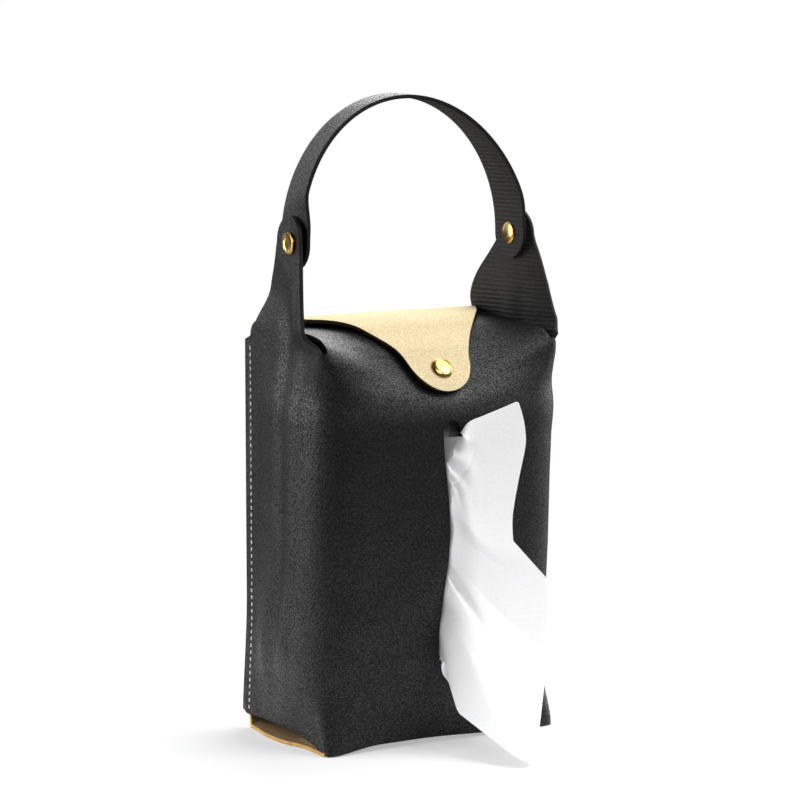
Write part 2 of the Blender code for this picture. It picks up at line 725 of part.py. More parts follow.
def strap_path():
    """The outer face of the strap in (x, z), from the left end over the arch to the right end."""
    leg_x = INNER_HALF_WIDTH - GAP
    drop = STRAP_WIDTH / 2
    path = [(-leg_x, RIVET_Z - drop), (-leg_x, RIVET_Z)]
    for share in spread(49)[1:-1]:
        turn = math.pi * (1 - share)
        path.append((leg_x * math.cos(turn), RIVET_Z + ARCH_HEIGHT * math.sin(turn)))
    return path + [(leg_x, RIVET_Z), (leg_x, RIVET_Z - drop)]


END_ROW_COUNT = 7
ARCH_ROW_COUNT = 41
STRAP_COLUMN_COUNT = 5


def handle_strap(made_of, parent):
    path = strap_path()
    total = lengths_along(path)[-1]
    radius = STRAP_WIDTH / 2
    ends = [radius * (1 - math.cos(share * math.pi / 2)) for share in spread(END_ROW_COUNT)]
    ends[0] = radius * (1 - math.cos(math.radians(STRAP_TIP_TURN)))
    middle = [radius + (total - 2 * radius) * share for share in spread(ARCH_ROW_COUNT)[1:-1]]
    distances = ends + middle + [total - end for end in reversed(ends)]
    rows = []
    for distance in distances:
        x, z = point_at(path, distance)
        before = point_at(path, distance - GAP)
        after = point_at(path, distance + GAP)
        outward = Vector((before[1] - after[1], after[0] - before[0])).normalized()
        from_end = min(distance, total - distance)
        short_of = radius - min(from_end, radius)
        half = math.sqrt(max(radius**2 - short_of**2, 0.0))
        twist = smooth((from_end - STRAP_TWIST_START) / STRAP_TWIST_RISE)
        height = max(0.0, (z - RIVET_Z) / ARCH_HEIGHT)
        row = []
        for side in (1 - 2 * share for share in spread(STRAP_COLUMN_COUNT)):
            ahead = half * (1 - side) * twist
            out = STRAP_TOE * (1 - height) * ahead
            skewed = STRAP_SKEW * height * ahead
            row.append((x + outward.x * out - skewed, RIVET_Y + half * side, z + outward.y * out))
        rows.append(row)
    strap = sheet_object("handle_strap", [rows], LEATHER, made_of, parent)
    for sign in (-1, 1):
        hole = RIVET_TUBE_RADIUS + RIVET_HOLE_CLEARANCE
        start = (sign * (INNER_HALF_WIDTH + OVERRUN), RIVET_Y, RIVET_Z)
        length = 2 * OVERRUN + LEATHER
        cut(strap, rod_cutter("strap_hole", hole, length, start, (-sign, 0, 0), made_of))
    return strap


def rivet(side_name, sign, brass):
    """A two-part rivet: an outer cap with a tube, and an inner cap whose pin goes into the tube."""
    outer_face = HALF_WIDTH + GAP
    stack = 2 * LEATHER + 3 * GAP
    bore = RIVET_PIN_RADIUS + GAP
    r = RIVET_CAP_RADIUS
    h = RIVET_CAP_HEIGHT
    tube_end = GAP - stack
    outer = [(r * a, h * b) for a, b in RIVET_OUTER_SHARES]
    outer += [(RIVET_TUBE_RADIUS, 0), (RIVET_TUBE_RADIUS, tube_end)]
    outer += [(bore, tube_end), (bore, -GAP), (0, -GAP)]
    place = (sign * outer_face, RIVET_Y, RIVET_Z)
    turned(side_name + "_rivet_outer", outer, place, (sign, 0, 0), brass)
    pin_end = tube_end + GAP
    inner = [(r * a, h * b) for a, b in RIVET_INNER_SHARES]
    inner += [(RIVET_PIN_RADIUS, 0), (RIVET_PIN_RADIUS, pin_end), (0, pin_end)]
    place = (sign * (outer_face - stack), RIVET_Y, RIVET_Z)
    turned(side_name + "_rivet_inner", inner, place, (-sign, 0, 0), brass)


# Stitching


def seam_thread(side_name, sign, made_of):
    """The thread of a back seam, a thin strip along the side panel."""
    near_x = sign * (HALF_WIDTH + GAP)
    far_x = near_x + sign * THREAD * THREAD_HEIGHT_SHARE
    y = BACK_Y - STITCH_INSET
    low = (min(near_x, far_x), y - THREAD / 2, SIDE_LIFT + SEAM_END_MARGIN)
    high = (max(near_x, far_x), y + THREAD / 2, SLIT_Z)
    box_object(side_name + "_seam_thread", low, high, made_of)


def base_thread(made_of):
    """The thread that joins the hem to the base panel, on the panel's inner face."""
    low_z = 2 * LEATHER + 2 * GAP
    high_z = low_z + THREAD * THREAD_HEIGHT_SHARE
    y = FRONT_Y + HEM_DEPTH * HEM_SEAM_SHARE
    half = INNER_HALF_WIDTH - SEAM_FLANGE
    box_object("base_seam_thread", (-half, y - THREAD / 2, low_z), (half, y + THREAD / 2, high_z), made_of)


# Tissue pack


def tissue_pack(paper, film_material):
    floor_z = 2 * LEATHER + 3 * GAP + THREAD
    half = PACK_WIDTH / 2
    low = (-half, PACK_FRONT_Y, floor_z)
    high = (half, PACK_FRONT_Y + PACK_DEPTH, floor_z + PACK_HEIGHT)
    film = box_object("pack_film", low, high, film_material, bevel=PACK_CORNER)
    wall = FILM
    inner_low = tuple(value + wall for value in low)
    inner_high = tuple(value - wall for value in high)
    hollow = box_object("pack_hollow", inner_low, inner_high, paper, bevel=PACK_CORNER - wall)
    cut(film, hollow)
    window_low = (-FILM_WINDOW_WIDTH / 2, PACK_FRONT_Y - OVERRUN, SLOT_BOTTOM_Z - FILM_WINDOW_MARGIN)
    window_high = (FILM_WINDOW_WIDTH / 2, PACK_FRONT_Y + OVERRUN, SLOT_TOP_Z + FILM_WINDOW_MARGIN)
    cut(film, box_object("film_window", window_low, window_high, paper))
    inset = wall + GAP
    stack_low = tuple(value + inset for value in low)
    stack_high = tuple(value - inset for value in high)
    box_object("tissue_stack", stack_low, stack_high, paper, bevel=PACK_CORNER - inset)


# Pulled tissue


def tissue_edge():
    """The free edge of the pulled tissue, from its peak round the right side to the tip on the floor."""
    front = FRONT_Y - FRONT_BULGE
    edge = [(a * TISSUE_REACH, front - b * TISSUE_REACH, c * SLOT_TOP_Z) for a, b, c in TISSUE_EDGE_SHARES]
    return curved(edge, 4)


TISSUE_ROW_COUNT = 37
TISSUE_COLUMN_COUNT = 14


def pulled_tissue(paper):
    """The sheet drawn through the slot: gathered there, and fanned out to its free edge in its main folds."""
    edge = resampled(tissue_edge(), TISSUE_ROW_COUNT)
    stack_front_y = PACK_FRONT_Y + FILM + GAP
    inner_y = stack_front_y - GAP
    top_z = SLOT_TOP_Z - SLOT_WIDTH / 2
    bottom_z = SLOT_BOTTOM_Z + SLOT_WIDTH / 2
    mouth_y = FRONT_Y - FRONT_BULGE - 2 * TISSUE_THICKNESS
    rows = []
    for share, (edge_x, edge_y, edge_z) in zip(spread(TISSUE_ROW_COUNT), edge):
        root_z = top_z + (bottom_z - top_z) * share
        row = []
        for out in spread(TISSUE_COLUMN_COUNT):
            free = max(0.0, (out - TISSUE_MOUTH_SHARE) / (1 - TISSUE_MOUTH_SHARE))
            inside = min(1.0, out / TISSUE_MOUTH_SHARE)
            wave = math.sin(math.tau * TISSUE_FOLDS * share)
            grown = smooth(free * TISSUE_FOLD_GROWTH) * (1 - free * TISSUE_FOLD_DECAY_SHARE)
            fold = TISSUE_FOLD * wave * grown
            crease = TISSUE_CREASE_SHARE * SLOT_WIDTH * wave * (1 - free)
            lift = TISSUE_FOLD * smooth(free * TISSUE_LIFT_GROWTH)
            sag = math.sin(math.pi * free) * TISSUE_SAG_SHARE * TISSUE_REACH
            x = crease + free * edge_x + TISSUE_FOLD_LEAN_SHARE * fold
            y = inner_y + inside * (mouth_y - inner_y) + free * (edge_y - mouth_y) - fold - lift
            z = root_z + free * (edge_z - root_z) - sag * (edge_z < root_z)
            row.append((x, y, max(z, TISSUE_THICKNESS + TISSUE_FLOOR_CLEARANCE)))
        rows.append(row)
    return sheet_object("pulled_tissue", [rows], TISSUE_THICKNESS, paper)


def clear_scene():
    for obj in list(bpy.data.objects):
        bpy.data.objects.remove(obj)


def main():
    clear_scene()
    black = material("black_leather", (0.020, 0.020, 0.022), 0.48)
    cream = material("cream_leather", (0.86, 0.72, 0.50), 0.60)
    brass = material("aged_brass", (0.72, 0.52, 0.20), 0.30, 1.0)
    white = material("white_thread", (0.85, 0.84, 0.80), 0.70)
    paper = material("white_tissue", (0.93, 0.93, 0.93), 0.90)
    film = material("clear_film", (0.80, 0.84, 0.88), 0.25)
    handle_axis = empty_at("handle_axis", (0, RIVET_Y, RIVET_Z))
    flap_hinge = empty_at("flap_hinge", (0, BACK_Y, SEAM_TOP_Z))
    body_wrap(black)
    back_base_panel(cream)
    top_flap(cream, flap_hinge)
    snap_pieces(brass, flap_hinge)
    handle_strap(black, handle_axis)
    for side_name, sign in (("left", -1), ("right", 1)):
        rivet(side_name, sign, brass)
        seam_thread(side_name, sign, white)
    base_thread(white)
    tissue_pack(paper, film)
    pulled_tissue(paper)


main()
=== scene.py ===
# %% [markdown]
# # A hanging tissue holder in black and cream leather
#
# The real holder is a bag made from flat leather. One black piece makes the front, both sides and the two
# ears. One cream piece makes the base, the back and the flap that snaps shut over the front. A strap is
# riveted between the ears, and a soft pack of tissues stands inside, behind a tall slot.
#
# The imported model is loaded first. It fixes where everything is. The cells below dress each of its parts
# with a finer surface in the same place.

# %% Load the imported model
import math

import bmesh
import bpy
import numpy as np
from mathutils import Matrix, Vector


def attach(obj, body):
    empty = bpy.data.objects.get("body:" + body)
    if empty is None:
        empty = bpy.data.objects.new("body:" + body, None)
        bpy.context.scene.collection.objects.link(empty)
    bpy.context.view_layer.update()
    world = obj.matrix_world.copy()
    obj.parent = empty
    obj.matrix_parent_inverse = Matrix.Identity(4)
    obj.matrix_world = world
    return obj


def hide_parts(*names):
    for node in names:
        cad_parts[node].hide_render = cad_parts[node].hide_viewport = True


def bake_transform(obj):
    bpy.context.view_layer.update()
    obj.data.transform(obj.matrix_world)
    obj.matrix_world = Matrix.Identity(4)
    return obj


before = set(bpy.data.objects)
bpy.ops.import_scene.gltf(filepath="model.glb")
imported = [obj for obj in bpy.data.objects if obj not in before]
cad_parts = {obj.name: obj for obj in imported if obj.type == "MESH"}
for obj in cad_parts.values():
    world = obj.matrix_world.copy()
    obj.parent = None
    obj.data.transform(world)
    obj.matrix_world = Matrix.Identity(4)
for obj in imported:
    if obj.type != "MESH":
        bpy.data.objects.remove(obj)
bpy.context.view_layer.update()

scene = bpy.context.scene

# %% [markdown]
# ## The sizes that everything follows
#
# Leather work starts from a few sizes: the width across the seams, the depth, the thickness of the leather
# and the heights where the shape changes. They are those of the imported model, in metres, apart from the slit's
# end, the ears' radius and the rivet caps' height, which follow the photograph more closely.

# %% Sizes of the wrap
BAG_WIDTH = 0.126
BAG_DEPTH = 0.0785
LEATHER = 0.0018
GAP = 0.0003
SEAM_TOP_Z = 0.190
SLIT_Z = 0.1905
SHOULDER_Z = 0.150
FRONT_BULGE = 0.0096
SIDE_BULGE = 0.006
CREST_Y = -0.004
CREST_DRIFT = 0.022
PINCH_RISE = 0.040
TOP_PINCH = 0.026
SHARP_CORNER = 0.006
ROUND_CORNER = 0.024
SOFT_POWER = 4.0
MOST_SOFT = 0.80
SEAM_FLANGE = 0.006
SIDE_LIFT = 0.0062
SIDE_LIFT_POWER = 5.0
HEM_DEPTH = 0.024
SLIT_OPENING = 0.0040
SLOT_WIDTH = 0.009
SLOT_TOP_Z = 0.157
SLOT_BOTTOM_Z = 0.041
MILLIMETRE = 0.001
TWO_LAYERS = 2 * LEATHER + 3 * GAP

HALF_WIDTH = BAG_WIDTH / 2
INNER_HALF_WIDTH = HALF_WIDTH - LEATHER
FRONT_Y = -BAG_DEPTH / 2
BACK_Y = BAG_DEPTH / 2
HALF_PATH = BAG_DEPTH + HALF_WIDTH
CORNER_SHARE = BAG_DEPTH / HALF_PATH
SIDES = (("left", -1), ("right", 1))

# %% Sizes of the ears, the strap, the flap and the fasteners
RIVET_Y = -0.0062
RIVET_Z = 0.240
EAR_RADIUS = 0.0128
STRAP_WIDTH = 0.025
ARCH_HEIGHT = 0.0686
ROLL_END_Y = 0.016
ROLL_END_Z = 0.1988
ROLL_CORNER_Z = 0.1984
SNAP_Y = -0.0396
SNAP_Z = 0.1805
SNAP_TILT = math.radians(42.0)
SNAP_FLAT = 0.013
SNAP_STACK = 0.0028
FLAP_CREST = (0.0240, 0.2013)
FLAP_TIP_BELOW_SNAP = 0.0125
FLAP_TIP_RADIUS = 0.0155
RIVET_CAP_RADIUS = 0.0053
RIVET_CAP_HEIGHT = 0.0013
SNAP_CAP_RADIUS = 0.0055
SNAP_CAP_HEIGHT = 0.0019

print(f"the wrap is {1000 * BAG_WIDTH:.0f} x {1000 * BAG_DEPTH:.0f} mm, {1000 * LEATHER:.1f} mm thick")

# %% [markdown]
# ## Tools for curved sheets
#
# Leather is a sheet, so every leather piece here is made the same way: a grid of points gives its outer
# face, a Solidify modifier gives it a thickness, and a Bevel modifier breaks its cut edges. Solidify can
# give the inner face and the rim a material of their own, which suits leather: grain outside, a ribbed or
# suede backing inside, and a raw cut edge. Each grid also carries a UV map in metres, for the ribs.


# %% Curves
def smooth(value, start=0.0, length=1.0):
    """Rises from 0 to 1 with level ends as the value goes on from start by length, which may be negative."""
    t = np.clip((value - start) / length, 0.0, 1.0)
    return t * t * (3 - 2 * t)


def hump(value, centre=0.0, reach=1.0):
    """A soft bump: 1 at its centre, falling to 0 at its reach on both sides."""
    return 1 - smooth(np.abs(value - centre), 0.0, reach)


def joined(*columns):
    """Points from their columns of coordinates."""
    return np.stack(columns, axis=-1)


def run_of(points):
    """How far along the line each point lies."""
    steps = np.linalg.norm(np.diff(points, axis=0), axis=1)
    return np.concatenate([[0.0], np.cumsum(steps)])


def sampled(points, places, wanted):
    """The points at the wanted values, where places gives the value at each point."""
    return joined(*[np.interp(wanted, places, column) for column in points.T])


def at_distance(points, distance):
    """The points at these distances along the line."""
    return sampled(points, run_of(points), distance)


def spaced(points, count):
    return at_distance(points, np.linspace(0, run_of(points)[-1], count))


def curved(controls, steps):
    """A smooth curve through the control points (Catmull-Rom)."""
    ends = np.array([controls[0], *controls, controls[-1]], float)
    made = [ends[1]]
    for a, b, c, d in zip(ends, ends[1:], ends[2:], ends[3:]):
        for step in range(1, steps + 1):
            t = step / steps
            cubic = (c - a) * t + (2 * a - 5 * b + 4 * c - d) * t**2 + (3 * b - a - 3 * c + d) * t**3
            made.append(b + cubic / 2)
    return np.array(made)


def between(start, end, shares):
    """The points at these shares of the way from start to end, each coordinate with its own share."""
    return [(start[0] + a * (end[0] - start[0]), start[1] + b * (end[1] - start[1])) for a, b in shares]


print("a curve through 3 points has", len(curved([(0, 0), (1, 1), (2, 0)], 4)), "points")

# %% Sheets
CUT_EDGE = 0.00035
BEVELLED_OVER = math.radians(50.0)


def grid_of(rows):
    """A grid and its UV map in metres: across along the middle row, and up along the middle column."""
    points = np.array(rows)
    across = run_of(points[points.shape[0] // 2])
    up = run_of(points[:, points.shape[1] // 2])
    return points, joined(*np.meshgrid(across, up))


def mirrored(grid):
    """The grid on the other side, with its columns turned round so that it still faces out."""
    points, flat = grid
    return points[:, ::-1] * (-1, 1, 1), flat[:, ::-1] * (-1, 1)


def smooth_mesh(name, bm, sharp_over=None):
    """The finished mesh, shaded smooth except at edges that turn more than this many degrees."""
    for face in bm.faces:
        face.smooth = True
    mesh = bpy.data.meshes.new(name)
    bm.to_mesh(mesh)
    bm.free()
    if sharp_over:
        mesh.set_sharp_from_angle(angle=math.radians(sharp_over))
    return mesh


def mesh_from(name, grids):
    """One mesh of all the grids, joined where they meet."""
    bm = bmesh.new()
    layer = bm.loops.layers.uv.new("Leather")
    for points, flat in grids:
        corners = [[bm.verts.new(point) for point in row] for row in points]
        for r in range(len(corners) - 1):
            for c in range(len(corners[r]) - 1):
                places = ((r, c), (r, c + 1), (r + 1, c + 1), (r + 1, c))
                face = bm.faces.new([corners[i][j] for i, j in places])
                for loop, (i, j) in zip(face.loops, places):
                    loop[layer].uv = flat[i, j]
    bmesh.ops.remove_doubles(bm, verts=bm.verts, dist=GAP / 10)
    bmesh.ops.dissolve_degenerate(bm, edges=bm.edges, dist=GAP / 20)
    return smooth_mesh(name, bm)


def placed(name, data):
    """A new object in the scene."""
    made = bpy.data.objects.new(name, data)
    scene.collection.objects.link(made)
    return made


def add_piece(name, mesh, materials, body, replaced):
    """A new piece of the dressed model: its materials, the body it rides on and the CAD nodes it stands for."""
    for material in materials:
        mesh.materials.append(material)
    piece = placed(name, mesh)
    if body:
        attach(piece, body)
    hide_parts(*replaced)
    print(f"{name}: {len(mesh.polygons)} faces")
    return piece


def leather_piece(name, grids, materials, body, replaced, thickness=LEATHER, edge=CUT_EDGE, even=True):
    """A leather sheet with a thickness, a softened cut edge, and its own inner face and edge materials."""
    piece = add_piece(name, mesh_from(name, grids), materials, body, replaced)
    solid = piece.modifiers.new("Thickness", "SOLIDIFY")
    solid.thickness = thickness
    solid.offset = -1.0
    solid.use_even_offset = even
    solid.material_offset = 1
    solid.material_offset_rim = 2
    bevel = piece.modifiers.new("Cut edge", "BEVEL")
    bevel.width = edge
    bevel.segments = 2
    bevel.limit_method = "ANGLE"
    bevel.angle_limit = BEVELLED_OVER
    bevel.harden_normals = False
    return piece


# %% Turned shapes
TURNED_SIDES = 64


def turned(name, profile, origin, axis):
    """A mesh turned about an axis from (radius, height) points, which start and end on the axis."""
    bm = bmesh.new()
    rings = []
    for radius, height in profile:
        turns = [math.tau * i / TURNED_SIDES for i in range(TURNED_SIDES)] if radius else [0.0]
        rings.append([bm.verts.new((radius * math.cos(t), radius * math.sin(t), height)) for t in turns])
    for low, high in zip(rings, rings[1:]):
        for i in range(TURNED_SIDES):
            j = (i + 1) % TURNED_SIDES
            ring = [low[i % len(low)], low[j % len(low)], high[j % len(high)], high[i % len(high)]]
            bm.faces.new(list(dict.fromkeys(ring)))
    bmesh.ops.recalc_face_normals(bm, faces=bm.faces)
    turn = Vector((0, 0, 1)).rotation_difference(Vector(axis)).to_matrix()
    bmesh.ops.rotate(bm, verts=bm.verts, cent=(0, 0, 0), matrix=turn)
    bmesh.ops.translate(bm, verts=bm.verts, vec=Vector(origin))
    return smooth_mesh(name, bm, sharp_over=35.0)


# %% [markdown]
# ## Finishes
#
# Coated leather is black because its dye is, so nearly all that the eye sees of it is gloss: broad soft
# reflections, broken up by a fine pebble grain. The grain is a node group, because the black and the cream
# leather both use it, each with its own cell size and depth. It gives the bump, and it says where the
# pebbles' tops are. They are lighter and smoother than the valleys, and on the black leather they are coated.


# %% Tools for shader nodes
NOISE_RANGE = (0.3, 0.7)
WHITE = (1.0, 1.0, 1.0, 1.0)


def feed(node, inputs):
    """Gives each named input a number or a colour, or links a socket to it."""
    for title, value in inputs.items():
        if isinstance(value, bpy.types.NodeSocket):
            node.id_data.links.new(value, node.inputs[title])
        else:
            node.inputs[title].default_value = value


def outputs_of(tree, kind, inputs=None):
    """The outputs of a new node with these inputs."""
    made = tree.nodes.new(kind)
    feed(made, inputs or {})
    return made.outputs


def math_node(tree, operation, *values):
    """One Math node: each value is a number or a socket."""
    made = tree.nodes.new("ShaderNodeMath")
    made.operation = operation
    feed(made, dict(enumerate(values)))
    return made.outputs[0]


def product(tree, first, *others):
    for other in others:
        first = math_node(tree, "MULTIPLY", first, other)
    return first


def ranged(tree, value, low, high, to_low=0.0, to_high=1.0):
    """The value's range low to high, mapped onto another."""
    inputs = {"Value": value, "From Min": low, "From Max": high, "To Min": to_low, "To Max": to_high}
    return outputs_of(tree, "ShaderNodeMapRange", inputs)["Result"]


def noise(tree, scale, detail=2.0):
    """Noise that is fixed to the object. Nearly all of it lies in NOISE_RANGE."""
    place = outputs_of(tree, "ShaderNodeTexCoord")["Object"]
    return outputs_of(tree, "ShaderNodeTexNoise", {"Vector": place, "Scale": scale, "Detail": detail})["Fac"]


def bumped(tree, height, distance, strength):
    """The normal of a face that this height roughens."""
    inputs = {"Height": height, "Distance": distance, "Strength": strength}
    return outputs_of(tree, "ShaderNodeBump", inputs)["Normal"]


def blend_colours(tree, mask, low, high):
    """A colour between low and high by a mask."""
    mix = tree.nodes.new("ShaderNodeMix")
    mix.data_type = "RGBA"
    feed(mix, {"Factor": mask, "A": (*low, 1.0), "B": (*high, 1.0)})
    return mix.outputs["Result"]


def new_material(name, roughness, specular=0.5, metallic=0.0):
    """A material with only a Principled shader, its tree and the shader."""
    made = bpy.data.materials.new(name)
    made.use_nodes = True
    shader = made.node_tree.nodes["Principled BSDF"]
    feed(shader, {"Roughness": roughness, "Specular IOR Level": specular, "Metallic": metallic})
    return made, made.node_tree, shader


# %% The grain group
GRAIN_SOCKETS = (
    ("Cells per metre", "INPUT", "NodeSocketFloat"),
    ("Depth", "INPUT", "NodeSocketFloat"),
    ("Tops", "OUTPUT", "NodeSocketFloat"),
    ("Normal", "OUTPUT", "NodeSocketVector"),
)
GRAIN_HEIGHT = 0.0003
PEBBLE_SOFTNESS = 0.35
PEBBLE_SHARE = 0.45
CREASES_PER_CELL = 1.7
PATCHES_PER_METRE = 60.0
PATCH_DRIFT = 0.02
TOPS_RANGE = (0.66, 0.96)


def grain_group():
    """Pebble grain: rounded cells with valleys between them, broken up by a little noise."""
    group = bpy.data.node_groups.new("Leather grain", "ShaderNodeTree")
    for title, way, kind in GRAIN_SOCKETS:
        group.interface.new_socket(name=title, in_out=way, socket_type=kind)
    given = group.nodes.new("NodeGroupInput").outputs
    cells = group.nodes.new("ShaderNodeTexVoronoi")
    cells.feature = "SMOOTH_F1"
    place = outputs_of(group, "ShaderNodeTexCoord")["Object"]
    feed(cells, {"Vector": place, "Scale": given["Cells per metre"], "Smoothness": PEBBLE_SOFTNESS})
    pebble = math_node(group, "SUBTRACT", 1.0, cells.outputs["Distance"])
    creases = noise(group, product(group, given["Cells per metre"], CREASES_PER_CELL))
    height = math_node(group, "ADD", product(group, pebble, PEBBLE_SHARE), creases)
    drift = ranged(group, noise(group, PATCHES_PER_METRE, 0.0), *NOISE_RANGE, -PATCH_DRIFT, PATCH_DRIFT)
    tops = ranged(group, math_node(group, "ADD", height, drift), *TOPS_RANGE)
    normal = bumped(group, height, GRAIN_HEIGHT, given["Depth"])
    feed(group.nodes.new("NodeGroupOutput"), {"Tops": tops, "Normal": normal})
    return group


GRAIN = grain_group()
print("group:", GRAIN.name, "with", len(GRAIN.nodes), "nodes")

# %% A first material: grained leather
VALLEY_ROUGHER = 0.16
TOP_SMOOTHER = 0.06


def grained_leather(name, dark, light, roughness, cells, depth, specular, coat=0.0):
    """Leather with darker and rougher valleys between its pebbles. A coat lies on the pebbles' tops."""
    made, tree, shader = new_material(name, roughness, specular)
    grain = tree.nodes.new("ShaderNodeGroup")
    grain.node_tree = GRAIN
    feed(grain, {"Cells per metre": cells, "Depth": depth})
    tops = grain.outputs["Tops"]
    feed(shader, {
        "Base Color": blend_colours(tree, tops, dark, light),
        "Roughness": ranged(tree, tops, 0.0, 1.0, roughness + VALLEY_ROUGHER, roughness - TOP_SMOOTHER),
        "Normal": grain.outputs["Normal"],
    })
    if coat:
        feed(shader, {"Coat Weight": ranged(tree, tops, 0.0, 1.0, 0.0, coat), "Coat Roughness": roughness})
    return made


BLACK_GRAIN = grained_leather(
    "black grained leather", (0.002, 0.002, 0.0022), (0.009, 0.009, 0.0095),
    roughness=0.42, cells=1300, depth=0.8, specular=0.20, coat=1.0,
)
CREAM_GRAIN = grained_leather(
    "cream grained leather", (0.72, 0.585, 0.345), (0.88, 0.76, 0.51),
    roughness=0.68, cells=1000, depth=0.35, specular=0.08,
)
print("materials:", BLACK_GRAIN.name, "and", CREAM_GRAIN.name)

# %% [markdown]
# The inside of the black leather is a woven backing with fine ribs across it, which the photograph shows on
# the far ear and along the strap. The ribs follow the leather and not the world, so they read the UV map:
# its second coordinate is the distance along the sheet, and a sine of it makes one rib every 2.2 mm.

# %% Ribbed backing
RIB_PITCH = 0.0022
RIB_HEIGHT = 0.0006
THREADS_PER_METRE = 800.0
THREAD_SHAKE = 0.9
THREAD_HEIGHT = 0.5


def ribbed_backing(name, valley, ridge):
    """Black woven backing: a rib every RIB_PITCH, with a fine thread noise along it."""
    made, tree, shader = new_material(name, 0.72, specular=0.35)
    flat = tree.nodes.new("ShaderNodeUVMap")
    flat.uv_map = "Leather"
    along = outputs_of(tree, "ShaderNodeSeparateXYZ", {"Vector": flat.outputs["UV"]})["Y"]
    threads = noise(tree, THREADS_PER_METRE, 1.0)
    shake = product(tree, threads, THREAD_SHAKE)
    turns = math_node(tree, "ADD", product(tree, along, math.tau / RIB_PITCH), shake)
    wave = ranged(tree, math_node(tree, "SINE", turns), -1.0, 1.0)
    rib = product(tree, wave, wave, ranged(tree, threads, 0.35, 0.65, 0.35, 1.0))
    height = math_node(tree, "ADD", rib, product(tree, threads, THREAD_HEIGHT))
    feed(shader, {
        "Base Color": blend_colours(tree, rib, valley, ridge),
        "Normal": bumped(tree, height, RIB_HEIGHT, 0.8),
    })
    return made


BLACK_BACKING = ribbed_backing("black ribbed backing", (0.008, 0.008, 0.008), (0.034, 0.033, 0.031))
print("backing ribs every", 1000 * RIB_PITCH, "mm")

# %% Suede, cut edges, thread and paper
FIBRE_HEIGHT = 0.0004


def fibrous(name, dark, light, roughness, scale, depth, detail=4.0, specular=0.2, height=FIBRE_HEIGHT):
    """Fine fibres, seen as noise in the colour and, where they have a depth, in the normal."""
    made, tree, shader = new_material(name, roughness, specular)
    fibre = noise(tree, scale, detail)
    feed(shader, {"Base Color": blend_colours(tree, ranged(tree, fibre, *NOISE_RANGE), dark, light)})
    if depth:
        feed(shader, {"Normal": bumped(tree, fibre, height, depth)})
    return made


BLACK_EDGE = fibrous("black cut edge", (0.004, 0.004, 0.004), (0.012, 0.012, 0.012), 0.7, 1500.0, 0.4)
CREAM_SUEDE = fibrous("tan suede", (0.20, 0.13, 0.062), (0.35, 0.235, 0.12), 0.85, 1200.0, 0.6)
CREAM_EDGE = fibrous("golden cut edge", (0.40, 0.22, 0.07), (0.72, 0.46, 0.17), 0.6, 1000.0, 0.5)
# The flap's cut edge is the base's golden edge painted dark brown: painted shade, as that edge faces away from the
# light.
SHADED_FLAP_EDGE = fibrous("cut edge in painted shade", (0.012, 0.007, 0.004), (0.090, 0.050, 0.020), 0.6, 1300.0, 0.5)
WHITE_THREAD = fibrous(
    "white thread", (0.62, 0.60, 0.55), (0.90, 0.89, 0.85), 0.75, 2500.0, depth=0.0, detail=2.0, specular=0.5
)
WHITE_PAPER = fibrous(
    "white tissue", (0.91, 0.91, 0.92), (0.95, 0.95, 0.95), 0.95, 700.0, depth=0.25, detail=5.0, height=0.0003
)
BLACK_LEATHER = [BLACK_GRAIN, BLACK_BACKING, BLACK_EDGE]
CREAM_LEATHER = [CREAM_GRAIN, CREAM_SUEDE, CREAM_EDGE]
FLAP_LEATHER_SHADED_EDGE = [CREAM_GRAIN, CREAM_SUEDE, SHADED_FLAP_EDGE]
print("materials so far:", len(bpy.data.materials))

# %% [markdown]
# ## The wall of the wrap
#
# Empty, the bag would have square corners. Filled, its walls bulge and its corners turn round, but they
# stay pinched at the base, where the hem holds them, and at the slits under the ears. So each height has
# two plans, a square one and a soft one, and the wall is a mix of the two.

# %% The wall in plan
BULGE_SHARES = ((0.0, 0.0), (0.13, 0.27), (0.27, 0.48), (0.45, 0.62), (0.66, 0.75), (0.85, 0.90), (1.0, 1.0))
PLAN_SHARES = np.linspace(0.0, 1.0, 241)
CORNER_REACH = 0.4
SOFT_PINCH = 1.4 * TOP_PINCH


def bulge(z):
    """How far the front stands out at its centre."""
    places, values = np.array(BULGE_SHARES).T
    return FRONT_BULGE * np.interp(z / SHOULDER_Z, places, values)


def square_plan(z):
    """The left half of the wall in plan with a corner that is barely rounded at the slit and at the base."""
    on_side = PLAN_SHARES < CORNER_SHARE
    x = np.where(on_side, -HALF_WIDTH, PLAN_SHARES * HALF_PATH - BAG_DEPTH - HALF_WIDTH)
    y = np.where(on_side, BACK_Y - PLAN_SHARES * HALF_PATH, FRONT_Y - bulge(z) * (1 - (x / HALF_WIDTH) ** 2))
    from_pinch = min(z / PINCH_RISE, (SLIT_Z - z) / TOP_PINCH)
    reach = (SHARP_CORNER + (ROUND_CORNER - SHARP_CORNER) * smooth(from_pinch)) / HALF_PATH
    reach = reach * hump(PLAN_SHARES, CORNER_SHARE, CORNER_REACH)
    around = [PLAN_SHARES + reach * offset for offset in np.linspace(-1, 1, 11)]
    return np.mean([sampled(joined(x, y), PLAN_SHARES, places) for places in around], axis=0)


